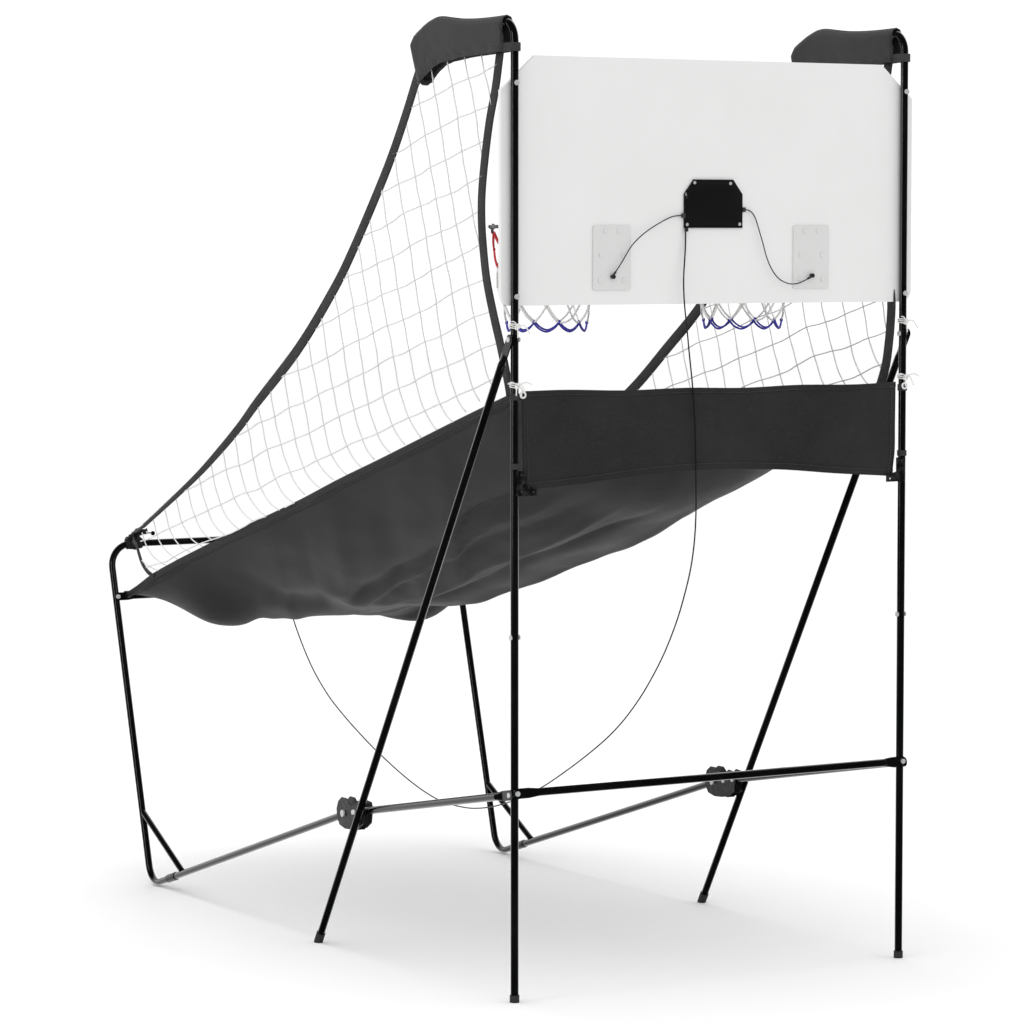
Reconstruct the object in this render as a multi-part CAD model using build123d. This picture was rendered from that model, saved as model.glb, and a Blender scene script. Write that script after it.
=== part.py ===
"""Two-player indoor basketball hoop machine on a folding steel tube frame.

Frame of the part: millimetres, +Z up, the floor at Z = 0, +Y towards the rear posts,
-Y towards the players, +X along the rear crossbar.  The origin is the middle of the
footprint.  Most stations are written as the distance "ahead" of the rear post axes.
"""
import os
from math import pi, radians, tan

from build123d import *

# ---------------------------------------------------------------- driving dimensions
POST_X = 499.0            # post axes either side of the middle
POST_TOP = 2060.0         # top of the bent post tube
REAR_Y = 991.75           # Y of the post axes
TUBE_R = 8.5              # 17 mm steel tube
TUBE_WALL = 1.2
SPIGOT_R = 7.0            # swaged joint inside the next tube
TAB_T = 3.0               # flattened tube end
TAB_H = 22.0
BOLT_R = 3.0
BOLT_HOLE_R = 3.15
HEAD_R = 5.5
HEAD_T = 3.0

POST_SEAMS = (790.0, 1500.0)
SPIGOT_LENGTH = 60.0
POST_SCREW_Z = 770.0
BOARD_BOLT_Z = (1481.0, 1923.0)
ARM_BEND_R = 42.0
ARM_REACH = 336.0         # where the arm starts to dip
ARM_TIP = (398.0, 1998.0)
CAP_R = 10.2
CAP_HEIGHT = 15.0
CAP_FLOOR = 3.0
CAP_GAP = 0.1

CROSSBAR_Z = 442.5
CROSSBAR_AHEAD = -10.0

LEG_TOP = (511.0, 0.0, 1392.0)      # diagonal leg: across, ahead, up
LEG_FOOT = (524.0, 824.0, 12.0)
LINK_REAR = (510.0, 0.0, 439.0)     # link from post to hinge bracket
LINK_FRONT = (499.2, 700.0, 313.5)
BRACKET_X = 500.0
BRACKET_GAP = 19.5
PLATE_T = 2.0
FOLD_PIVOT = (731.0, 308.0)         # ahead, up
FOLD_SLOPE = -0.303                 # front side tube's fall per unit ahead

KNEE = (1760.0, -4.0)               # virtual corner of the front leg's lower bend
KNEE_R = 49.4
LEG_SPLICE = 1640.0
BAR_TOP = (1992.0, 830.0)
BAR_LOW = (1945.0, 702.0)
LOW_TAB_LENGTH = 26.0
LOW_TAB_H = 20.0
TOP_BEND_R = 60.0
BRACE_LOW = (1588.0, 56.0)
BRACE_HIGH = (1803.0, 172.0)
BRACE_R = 7.5

BOARD_HALF = 527.0
BOARD_Z = (1462.0, 1981.0)
BOARD_REAR = 9.0
BOARD_T = 10.0
BOARD_CHAMFER = (83.0, 73.0)
BOARD_CORNER_R = 26.0

HOOP_X = 256.0
HOOP_AHEAD = 271.0
HOOP_Z = 1627.0
HOOP_R = 124.0
HOOP_ROD_R = 4.0
NET_TOP_Z = 1614.0
NET_LOW_Z = 1401.0
NET_TOP_R = 117.0
NET_LOW_R = 84.0
NET_T = 2.5
BACK_PLATE = (94.0, 136.0)          # width, height
BACK_PLATE_Z = 1561.0

PADDLE_PIVOT = (58.0, 1520.0)       # ahead, up
PADDLE_DROP = 50.0                  # the loop's depth below the pivot
PADDLE_LOOP_R = 17.0
PADDLE_WIRE_R = 2.0

SCORER_HALF = 74.5
SCORER_Z = (1624.0, 1727.0)
COVER_T = 4.0
HOUSING_DEPTH = 34.0
BUTTON_X = (-42.0, 0.0, 42.0)
BUTTON_Z = 1640.0

CORD_R = 1.6
WIRE_R = 1.2

FABRIC_HALF = 478.0            # half width of the ramp fabric between its side edges
RAMP_T = 5.0                   # thickness allowed for the ramp fabric and its hems
PANEL_Z = (1083.0, 1285.0)
NET_X = 480.0                  # plane of a side net
NET_SHEET_T = 3.6
HOOD_HALF = 14.0
STRAP_R = 10.6                 # outside of the straps round the posts
STRAP_T = 1.6
STRAP_Z = ((1988, 2006), (1266, 1280), (1122, 1134))
TIE_Z = (1300, 1420)

os.makedirs("parts", exist_ok=True)


# ---------------------------------------------------------------- small helpers
def at(x, ahead, z):
    """Point from across, ahead-of-the-posts and height."""
    return Vector(x, REAR_Y - ahead, z)


def save(name, shape):
    """Write one node; a list becomes a group of separate solids."""
    if isinstance(shape, (list, tuple)):
        shape = Compound(children=list(shape))
    export_step(shape, f"parts/{name}.step")


def rod(start, end, radius):
    """Solid cylinder between two points."""
    axis = end - start
    plane = Plane(origin=start, z_dir=axis)
    return Solid.extrude(Face(Wire([Edge.make_circle(radius, plane)])), axis)


def pipe(start, end, radius, wall=TUBE_WALL):
    """Straight hollow tube between two points."""
    grow = (end - start).normalized() * 1.0
    return rod(start, end, radius) - rod(start - grow, end + grow, radius - wall)


def swept(points, radii, radius):
    """Solid round bar along straight runs joined by tangent arcs."""
    path = FilletPolyline(*points, radius=radii)
    section = Plane(origin=path @ 0, z_dir=path % 0) * Circle(radius)
    return sweep(section, path=path)


def swept_pipe(points, radii, radius, wall=TUBE_WALL):
    """Hollow tube along straight runs joined by tangent arcs."""
    path = FilletPolyline(*points, radius=radii)
    plane = Plane(origin=path @ 0, z_dir=path % 0)
    section = plane * (Circle(radius) - Circle(radius - wall))
    return sweep(section, path=path)


def block(low, high):
    """Box between two (across, ahead, up) corners."""
    size = [abs(high[i] - low[i]) for i in range(3)]
    middle = [(high[i] + low[i]) / 2 for i in range(3)]
    return Pos(*at(*middle)) * Box(*size)


def cross_rod(x_low, x_high, ahead, z, radius):
    """Cylinder along X."""
    return rod(at(x_low, ahead, z), at(x_high, ahead, z), radius)


def ahead_rod(x, z, ahead_low, ahead_high, radius):
    """Cylinder along Y."""
    return rod(at(x, ahead_low, z), at(x, ahead_high, z), radius)


def bolt_across(x_low, x_high, ahead, z, radius=BOLT_R):
    """Bolt along X with a domed head at x_high and a nut at x_low."""
    side = 1 if x_high > x_low else -1
    shank = cross_rod(x_low - side * HEAD_T, x_high, ahead, z, radius)
    head = cross_rod(x_high, x_high + side * HEAD_T, ahead, z, HEAD_R)
    nut = cross_rod(x_low - side * HEAD_T, x_low, ahead, z, HEAD_R)
    return shank + head + nut


def hole_across(x, ahead, z, reach=40.0):
    """Cutter for a cross bolt."""
    return cross_rod(x - reach, x + reach, ahead, z, BOLT_HOLE_R)


def profile_plate(outline, x_low, x_high):
    """Plate in the side plane from a closed list of (ahead, up) points."""
    points = [at(x_low, a, z) for a, z in outline]
    face = Face(Wire.make_polygon(points, close=True))
    return Solid.extrude(face, Vector(x_high - x_low, 0, 0))


def front_plate(outline, ahead_low, ahead_high):
    """Plate facing the players from a closed list of (across, up) points."""
    points = [at(x, ahead_low, z) for x, z in outline]
    face = Face(Wire.make_polygon(points, close=True))
    return Solid.extrude(face, Vector(0, ahead_low - ahead_high, 0))


def flat_end(tip, inner, radius, across=TAB_T, tall=TAB_H, taper=26.0):
    """Flattened tube end in the side plane: a tab at tip that swells to the tube at inner."""
    run = (inner - tip).normalized()
    up = Vector(1, 0, 0).cross(run).normalized()
    plane = Plane(origin=tip, x_dir=up, z_dir=run)
    reach = (inner - tip).length - taper
    tab = Solid.extrude(plane * Face.make_rect(tall, across), run * reach)
    nose = cross_rod(tip.X - across / 2, tip.X + across / 2, REAR_Y - tip.Y, tip.Z, tall / 2)
    throat = Plane(origin=tip + run * reach, x_dir=up, z_dir=run)
    mouth = Plane(origin=inner, x_dir=up, z_dir=run)
    cone = loft([throat * Rectangle(tall, across), mouth * Circle(radius)])
    return tab + nose + cone


def on_front_tube(ahead):
    """Height of the front side tube's axis."""
    return FOLD_PIVOT[1] + FOLD_SLOPE * (ahead - FOLD_PIVOT[0])


def between(start, end, part):
    """Point a fraction of the way along a run given as (across, ahead, up)."""
    return tuple(start[i] + (end[i] - start[i]) * part for i in range(3))


def station(start, end, ahead):
    """Point of a run at a given distance ahead."""
    return between(start, end, (ahead - start[1]) / (end[1] - start[1]))


SIDES = (("L", 1), ("R", -1))


# ---------------------------------------------------------------- rear stand
def post_nodes(name, side):
    """Three nesting tubes: foot, middle, and top with its forward arm."""
    x = side * POST_X
    low, high = POST_SEAMS
    screw_hole = hole_across(x, 0, POST_SCREW_Z)
    board_holes = [ahead_rod(x, z, -30, 30, BOLT_HOLE_R) for z in BOARD_BOLT_Z]
    link_hole = hole_across(x, 0, LINK_REAR[2])
    bar_hole = ahead_rod(x, CROSSBAR_Z, -30, 30, BOLT_HOLE_R)
    lower = pipe(at(x, 0, CAP_FLOOR), at(x, 0, low), TUBE_R)
    save(f"post_lower_{name}", lower - link_hole - bar_hole - screw_hole)

    middle = pipe(at(x, 0, low + 0.3), at(x, 0, high), TUBE_R)
    neck = pipe(at(x, 0, low - SPIGOT_LENGTH), at(x, 0, low + 12), SPIGOT_R)
    neck = neck + pipe(at(x, 0, low + 2), at(x, 0, low + 12), TUBE_R - 0.6, 2.0)
    leg_hole = hole_across(x, 0, LEG_TOP[2])
    save(f"post_middle_{name}", middle + neck - screw_hole - leg_hole - board_holes[0])

    tip_ahead, tip_z = ARM_TIP
    top_z = POST_TOP - TUBE_R
    arm = swept_pipe(
        [at(x, 0, high + 0.3), at(x, 0, top_z), at(x, ARM_REACH, top_z), at(x, tip_ahead, tip_z)],
        [ARM_BEND_R, 40.0],
        TUBE_R,
    )
    neck = pipe(at(x, 0, high - SPIGOT_LENGTH), at(x, 0, high + 12), SPIGOT_R)
    neck = neck + pipe(at(x, 0, high + 2), at(x, 0, high + 12), TUBE_R - 0.6, 2.0)
    save(f"post_upper_{name}", arm + neck - board_holes[0] - board_holes[1])


def foot_caps():
    """Rubber cups under the two posts and the two diagonal legs."""
    caps = []
    for name, side in SIDES:
        x = side * POST_X
        cup = rod(at(x, 0, 0), at(x, 0, CAP_HEIGHT), CAP_R)
        caps.append(cup - rod(at(x, 0, CAP_FLOOR), at(x, 0, 40), TUBE_R + 0.05))
        foot = at(side * LEG_FOOT[0], LEG_FOOT[1], LEG_FOOT[2])
        top = at(side * LEG_TOP[0], LEG_TOP[1], LEG_TOP[2])
        along = (top - foot).normalized()
        bore = rod(foot - along * 0.05, foot + along * 40, TUBE_R + CAP_GAP)
        cup = rod(foot - along * 14, foot + along * 14, CAP_R) - bore
        floor_cut = block((foot.X - 40, LEG_FOOT[1] - 60, -60), (foot.X + 40, LEG_FOOT[1] + 60, 0))
        caps.append(cup - floor_cut)
    save("foot_caps", caps)


def diagonal_leg(name, side):
    """Leg from the post's outer side down and forward to the floor."""
    top = at(side * LEG_TOP[0], LEG_TOP[1], LEG_TOP[2])
    foot = at(side * LEG_FOOT[0], LEG_FOOT[1], LEG_FOOT[2])
    run = (foot - top).normalized()
    shoulder = top + run * 62
    tube = pipe(shoulder, foot, TUBE_R)
    leg = tube + flat_end(top, shoulder, TUBE_R)
    bracket_bolt = station(LINK_REAR, LINK_FRONT, 646)
    cuts = [hole_across(side * POST_X, 0, LEG_TOP[2]), hole_across(side * POST_X, 646, bracket_bolt[2])]
    for cut in cuts:
        leg = leg - cut
    save(f"diagonal_leg_{name}", leg)


def rear_link(name, side):
    """Link from the post to the hinge bracket."""
    rear = at(side * LINK_REAR[0], LINK_REAR[1], LINK_REAR[2])
    front = at(side * LINK_FRONT[0], LINK_FRONT[1], LINK_FRONT[2])
    run = (front - rear).normalized()
    shoulder = rear + run * 55
    link = pipe(shoulder, front, TUBE_R) + flat_end(rear, shoulder, TUBE_R)
    link = link - hole_across(side * POST_X, 0, LINK_REAR[2])
    link = link - hole_across(side * POST_X, 646, station(LINK_REAR, LINK_FRONT, 646)[2])
    link = link - hole_across(side * POST_X, 684, station(LINK_REAR, LINK_FRONT, 684)[2])
    save(f"rear_link_{name}", link)


def hinge_bracket(name, side):
    """Channel that holds the link's end and the pivot of the front side tube."""
    pivot_a, pivot_z = FOLD_PIVOT
    inner = BRACKET_GAP / 2
    outline = [
        (634, 330), (640, 343), (664, 345), (678, 334), (694, 330), (708, 336),
        (718, 344), (740, 344), (756, 333), (764, 316), (762, 296), (750, 280),
        (724, 274), (690, 276), (662, 282), (640, 296),
    ]
    plates = []
    for sign in (-1, 1):
        x_a = side * BRACKET_X + sign * inner
        plates.append(profile_plate(outline, x_a, x_a + sign * PLATE_T))
    web = block(
        (side * BRACKET_X - inner - 0.5, 668, 278), (side * BRACKET_X + inner + 0.5, 712, 280)
    )
    bracket = plates[0] + plates[1] + web
    for ahead in (646, 684):
        z = station(LINK_REAR, LINK_FRONT, ahead)[2]
        bracket = bracket - hole_across(side * BRACKET_X, ahead, z)
    bracket = bracket - cross_rod(side * BRACKET_X - 20, side * BRACKET_X + 20, pivot_a, pivot_z, 4.03)
    save(f"hinge_bracket_{name}", bracket)


def rear_crossbar():
    """Bar behind the posts with flattened, bolted ends."""
    left = at(POST_X - 2, CROSSBAR_AHEAD, CROSSBAR_Z)
    right = at(2 - POST_X, CROSSBAR_AHEAD, CROSSBAR_Z)
    bar = pipe(left - Vector(50, 0, 0), right + Vector(50, 0, 0), TUBE_R)
    for tip, way in ((left, -1), (right, 1)):
        inner = tip + Vector(way * 50, 0, 0)
        tab = block((tip.X, CROSSBAR_AHEAD - TAB_T / 2, CROSSBAR_Z - TAB_H / 2),
                    (tip.X + way * 26, CROSSBAR_AHEAD + TAB_T / 2, CROSSBAR_Z + TAB_H / 2))
        nose = ahead_rod(tip.X, CROSSBAR_Z, CROSSBAR_AHEAD - TAB_T / 2,
                         CROSSBAR_AHEAD + TAB_T / 2, TAB_H / 2)
        throat = Plane(origin=tip + Vector(way * 26, 0, 0), x_dir=(0, 0, 1), z_dir=(way, 0, 0))
        mouth = Plane(origin=inner, x_dir=(0, 0, 1), z_dir=(way, 0, 0))
        bar = bar + tab + nose + loft([throat * Rectangle(TAB_H, TAB_T), mouth * Circle(TUBE_R)])
        bar = bar - ahead_rod(-way * POST_X, CROSSBAR_Z, -40, 20, BOLT_HOLE_R)
    save("rear_crossbar", bar)


def stand_bolts():
    """Screws and bolts of the standing frame."""
    bolts = []
    for name, side in SIDES:
        inner = side * (POST_X - TUBE_R)
        outer = side * (POST_X + TUBE_R)
        lug = side * (LEG_TOP[0] + TAB_T / 2 + 0.9)
        bolts.append(bolt_across(inner, lug, 0, LEG_TOP[2]))
        bolts.append(bolt_across(inner, outer, 0, POST_SCREW_Z))
        bolts.append(bolt_across(inner, side * (LINK_REAR[0] + TAB_T / 2), 0, LINK_REAR[2]))
        bracket_in = side * (BRACKET_X - BRACKET_GAP / 2 - PLATE_T)
        bracket_out = side * (BRACKET_X + BRACKET_GAP / 2 + PLATE_T)
        z = station(LINK_REAR, LINK_FRONT, 684)[2]
        bolts.append(bolt_across(bracket_in, bracket_out, 684, z))
        z = station(LINK_REAR, LINK_FRONT, 646)[2]
        leg_out = station(LEG_TOP, LEG_FOOT, 646)[0] + TUBE_R
        bolts.append(bolt_across(bracket_in, side * leg_out, 646, z))
        x = side * POST_X
        rear = CROSSBAR_AHEAD - TAB_T / 2
        head = ahead_rod(x, CROSSBAR_Z, rear - HEAD_T, rear, HEAD_R)
        shank = ahead_rod(x, CROSSBAR_Z, rear, -5.0, BOLT_R)
        bolts.append(head + shank)
        for z in BOARD_BOLT_Z:
            front = BOARD_REAR + BOARD_T
            shank = ahead_rod(x, z, -TUBE_R, front + HEAD_T, BOLT_R)
            head = ahead_rod(x, z, -TUBE_R - HEAD_T, -TUBE_R, HEAD_R)
            bolts.append(shank + head + ahead_rod(x, z, front, front + HEAD_T, HEAD_R))
    save("frame_bolts", bolts)


# ---------------------------------------------------------------- folding front frame
def front_side_tube(name, side):
    """Tube from the bracket's pivot forward and down to the front leg."""
    pivot = at(side * BRACKET_X, *FOLD_PIVOT)
    front = at(side * POST_X, LEG_SPLICE, on_front_tube(LEG_SPLICE))
    start = pivot + (pivot - front).normalized() * 12
    tube = rod(start, front, TUBE_R)
    hollow = rod(pivot + (front - pivot).normalized() * 20, front + (front - pivot), TUBE_R - TUBE_WALL)
    tube = tube - hollow
    pivot_hole = cross_rod(side * BRACKET_X - 20, side * BRACKET_X + 20, *FOLD_PIVOT, 4.03)
    save(f"front_side_tube_{name}", tube - pivot_hole)


def fold_pivots():
    """Shouldered pivot bolts of the fold, fixed in the brackets."""
    pins = []
    for name, side in SIDES:
        low = side * (BRACKET_X - BRACKET_GAP / 2 - PLATE_T)
        high = side * (BRACKET_X + BRACKET_GAP / 2 + PLATE_T)
        pin = cross_rod(low - side * 4, high, *FOLD_PIVOT, 3.98)
        pin = pin + cross_rod(low - side * 4, low, *FOLD_PIVOT, 7.0)
        pins.append(pin + cross_rod(high, high + side * 4, *FOLD_PIVOT, 8.0))
    save("fold_pivot_bolts", pins)


def front_leg(name, side):
    """Bent tube: runner on the floor, leg, and half of the top bar."""
    x = side * POST_X
    splice = at(x, LEG_SPLICE + 0.3, on_front_tube(LEG_SPLICE + 0.3))
    corners = [splice, at(x, *KNEE), at(x, *BAR_TOP), at(side * 0.2, *BAR_TOP)]
    leg = swept_pipe(corners, [KNEE_R, TOP_BEND_R], TUBE_R)
    leg = leg - ahead_rod(x, BAR_LOW[1], BAR_LOW[0] - 20, BAR_LOW[0] + 11, BOLT_HOLE_R)
    save(f"front_leg_{name}", leg)


def front_frame_parts():
    """Splice sleeves, braces, lower bar and the bolts of the front frame."""
    sleeves = []
    for name, side in SIDES:
        x = side * POST_X
        low = at(x, LEG_SPLICE - 22, on_front_tube(LEG_SPLICE - 22))
        high = at(x, LEG_SPLICE + 22, on_front_tube(LEG_SPLICE + 22))
        sleeves.append(pipe(low, high, TUBE_R + 1.6, 1.5))
    sleeves.append(pipe(at(-26, *BAR_TOP), at(26, *BAR_TOP), TUBE_R + 1.6, 1.5))
    save("tube_sleeves", sleeves)

    braces = []
    for name, side in SIDES:
        x = side * POST_X
        brace = pipe(at(x, *BRACE_LOW), at(x, *BRACE_HIGH), BRACE_R, 1.0)
        below = rod(at(x, FOLD_PIVOT[0], FOLD_PIVOT[1]), at(x, 2200, on_front_tube(2200)), TUBE_R + 0.1)
        beside = rod(at(x, *KNEE), at(x, *BAR_TOP), TUBE_R + 0.1)
        brace = brace - below - beside
        braces.append(max(brace.solids(), key=lambda s: s.volume))
    save("front_braces", braces)

    left = at(POST_X - 1, *BAR_LOW)
    right = at(1 - POST_X, *BAR_LOW)
    bar = pipe(left - Vector(40, 0, 0), right + Vector(40, 0, 0), TUBE_R)
    for tip, way in ((left, -1), (right, 1)):
        tab = block((tip.X, BAR_LOW[0] - TAB_T / 2, BAR_LOW[1] - LOW_TAB_H / 2),
                    (tip.X + way * LOW_TAB_LENGTH, BAR_LOW[0] + TAB_T / 2, BAR_LOW[1] + LOW_TAB_H / 2))
        throat = Plane(origin=tip + Vector(way * LOW_TAB_LENGTH, 0, 0), x_dir=(0, 0, 1), z_dir=(way, 0, 0))
        mouth = Plane(origin=tip + Vector(way * 40, 0, 0), x_dir=(0, 0, 1), z_dir=(way, 0, 0))
        bar = bar + tab + loft([throat * Rectangle(LOW_TAB_H, TAB_T), mouth * Circle(TUBE_R)])
    for name, side in SIDES:
        bar = bar - rod(at(side * POST_X, *KNEE), at(side * POST_X, *BAR_TOP), TUBE_R + 0.3)
        bar = bar - ahead_rod(side * POST_X, BAR_LOW[1], 1900, 1960, BOLT_HOLE_R)
    save("front_lower_bar", bar)

    bolts = []
    for name, side in SIDES:
        head = ahead_rod(side * POST_X, BAR_LOW[1], BAR_LOW[0] - 1.5 - HEAD_T, BAR_LOW[0] - 1.5, HEAD_R)
        shank = ahead_rod(side * POST_X, BAR_LOW[1], BAR_LOW[0] - 1.5, BAR_LOW[0] + 8, BOLT_R)
        bolts.append(head + shank)
    save("bar_bolts", bolts)


# ---------------------------------------------------------------- backboard and hoops
def backboard():
    """Board with two chamfered upper corners, rounded lower corners and the scorer window."""
    half = BOARD_HALF
    low, high = BOARD_Z
    cut_x, cut_z = BOARD_CHAMFER
    outline = [(-half, low), (half, low), (half, high - cut_z), (half - cut_x, high),
               (cut_x - half, high), (-half, high - cut_z)]
    board = front_plate(outline, BOARD_REAR, BOARD_REAR + BOARD_T)
    lower = [e for e in board.edges().filter_by(Axis.Y) if e.center().Z < low + 5]
    board = fillet(lower, BOARD_CORNER_R)
    window = block((-60, BOARD_REAR - 5, 1640), (60, BOARD_REAR + BOARD_T + 5, 1712))
    board = board - window
    for name, side in SIDES:
        for z in BOARD_BOLT_Z:
            board = board - ahead_rod(side * POST_X, z, 0, 40, BOLT_HOLE_R)
        for x, z in plate_holes(side):
            board = board - ahead_rod(x, z, 0, 40, BOLT_HOLE_R)
        board = board - ahead_rod(side * HOOP_X, 1521, 0, 40, 3.5)
    save("backboard", board)


def plate_holes(side):
    """Where the hoop bolts pass the board: two at the top, four lower down."""
    x = side * HOOP_X
    return [(x - 17, 1618), (x + 17, 1618), (x - 28, 1566), (x + 28, 1566), (x - 30, 1514), (x + 30, 1514)]


def backing_plates():
    """Stiffening plates behind the board at each hoop."""
    plates = []
    wide, tall = BACK_PLATE
    for name, side in SIDES:
        x = side * HOOP_X
        plate = block((x - wide / 2, BOARD_REAR - 3, BACK_PLATE_Z - tall / 2),
                      (x + wide / 2, BOARD_REAR, BACK_PLATE_Z + tall / 2))
        plate = fillet(plate.edges().filter_by(Axis.Y), 5)
        for hole_x, hole_z in plate_holes(side):
            plate = plate - ahead_rod(hole_x, hole_z, -10, 30, BOLT_HOLE_R)
        plates.append(plate - ahead_rod(x, 1521, -10, 30, 3.5))
    save("backing_plates", plates)


def rim(name, side):
    """Steel ring on a folded bracket with two gussets."""
    x = side * HOOP_X
    front = BOARD_REAR + BOARD_T
    ring = Plane(origin=at(x, HOOP_AHEAD, HOOP_Z)) * Torus(HOOP_R, HOOP_ROD_R)
    foot = block((x - 36, front, 1500), (x + 36, front + 2.5, HOOP_Z + 4))
    neck_end = HOOP_AHEAD - HOOP_R
    shelf_face = Face(Wire.make_polygon([
        at(x - 36, front, HOOP_Z - 2), at(x + 36, front, HOOP_Z - 2),
        at(x + 22, neck_end + 3, HOOP_Z - 2), at(x - 22, neck_end + 3, HOOP_Z - 2)], close=True))
    shelf = Solid.extrude(shelf_face, Vector(0, 0, 3))
    mirror_gusset = profile_plate(
        [(front, HOOP_Z - 2), (front, HOOP_Z - 70), (front + 6, HOOP_Z - 70), (neck_end - 60, HOOP_Z - 2)],
        x + 33.5, x + 36)
    gusset = profile_plate(
        [(front, HOOP_Z - 2), (front, HOOP_Z - 70), (front + 6, HOOP_Z - 70), (neck_end - 60, HOOP_Z - 2)],
        x - 36, x - 33.5)
    body = foot + shelf + gusset + mirror_gusset
    for hole_x, hole_z in plate_holes(side):
        body = body - ahead_rod(hole_x, hole_z, 0, 40, BOLT_HOLE_R)
    body = body - block((x - 16, front - 2, 1490), (x + 16, front + 10, 1545))
    body = body + ring
    save(f"rim_{name}", body)


def rim_bolts():
    """Bolts through backing plate, board and rim foot."""
    bolts = []
    for name, side in SIDES:
        for x, z in plate_holes(side):
            rear = BOARD_REAR - 3
            front = BOARD_REAR + BOARD_T + 2.5
            shank = ahead_rod(x, z, rear, front + 2.5, BOLT_R)
            head = ahead_rod(x, z, rear - 1.6, rear, 5.0)
            bolts.append(shank + head + ahead_rod(x, z, front, front + 2.5, 5.0))
    save("rim_bolts", bolts)


def hoop_net(name, side):
    """Tapered net sleeve, open at both ends, with a rear slot for the sensor arm."""
    x = side * HOOP_X
    y = REAR_Y - HOOP_AHEAD
    outer = [(NET_TOP_R, NET_TOP_Z), (NET_TOP_R - 16, NET_TOP_Z - 74), (NET_LOW_R, NET_LOW_Z)]
    inner = [(r - NET_T, z) for r, z in reversed(outer)]
    section = Face(Wire.make_polygon([(r, 0, z) for r, z in outer + inner], close=True))
    sleeve = Pos(x, y, 0) * revolve(section, Axis.Z)
    slot = block((x - 13, 120, NET_LOW_Z - 10), (x + 13, 220, 1548))
    save(f"hoop_net_{name}", sleeve - slot)


def sensor(name, side):
    """Score sensor: clevis housing under the rim and a sprung wire paddle inside the net."""
    x = side * HOOP_X
    front = BOARD_REAR + BOARD_T
    pivot_a, pivot_z = PADDLE_PIVOT
    housing = block((x - 14, front + 0.2, 1500), (x + 14, 66, 1540))
    housing = housing - block((x - 10, 40, 1495), (x + 10, 90, 1545))
    housing = housing - block((x - 10, 24, 1504), (x + 10, 38, 1536))
    housing = housing - cross_rod(x - 20, x + 20, pivot_a, pivot_z, 2.0)
    save(f"sensor_housing_{name}", housing)

    hub = cross_rod(x - 9.5, x + 9.5, pivot_a, pivot_z, 5.0) - cross_rod(x - 20, x + 20, pivot_a, pivot_z, 2.05)
    loop_z = pivot_z - PADDLE_DROP
    arm_path = [at(x, pivot_a + 3.5, pivot_z), at(x, 150, pivot_z - 8), at(x, HOOP_AHEAD + 6, loop_z)]
    arm = swept(arm_path, [60.0], PADDLE_WIRE_R)
    loop = Plane(origin=at(x, HOOP_AHEAD + 6 + PADDLE_LOOP_R, loop_z)) * Torus(PADDLE_LOOP_R, PADDLE_WIRE_R)
    paddle = hub + arm - cross_rod(x - 20, x + 20, pivot_a, pivot_z, 2.05) + loop
    save(f"sensor_paddle_{name}", paddle)


def sensor_pins():
    """Hinge pins of the two paddles."""
    pins = []
    for name, side in SIDES:
        x = side * HOOP_X
        pins.append(cross_rod(x - 14.5, x + 14.5, *PADDLE_PIVOT, 1.98))
    save("sensor_pins", pins)


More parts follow.
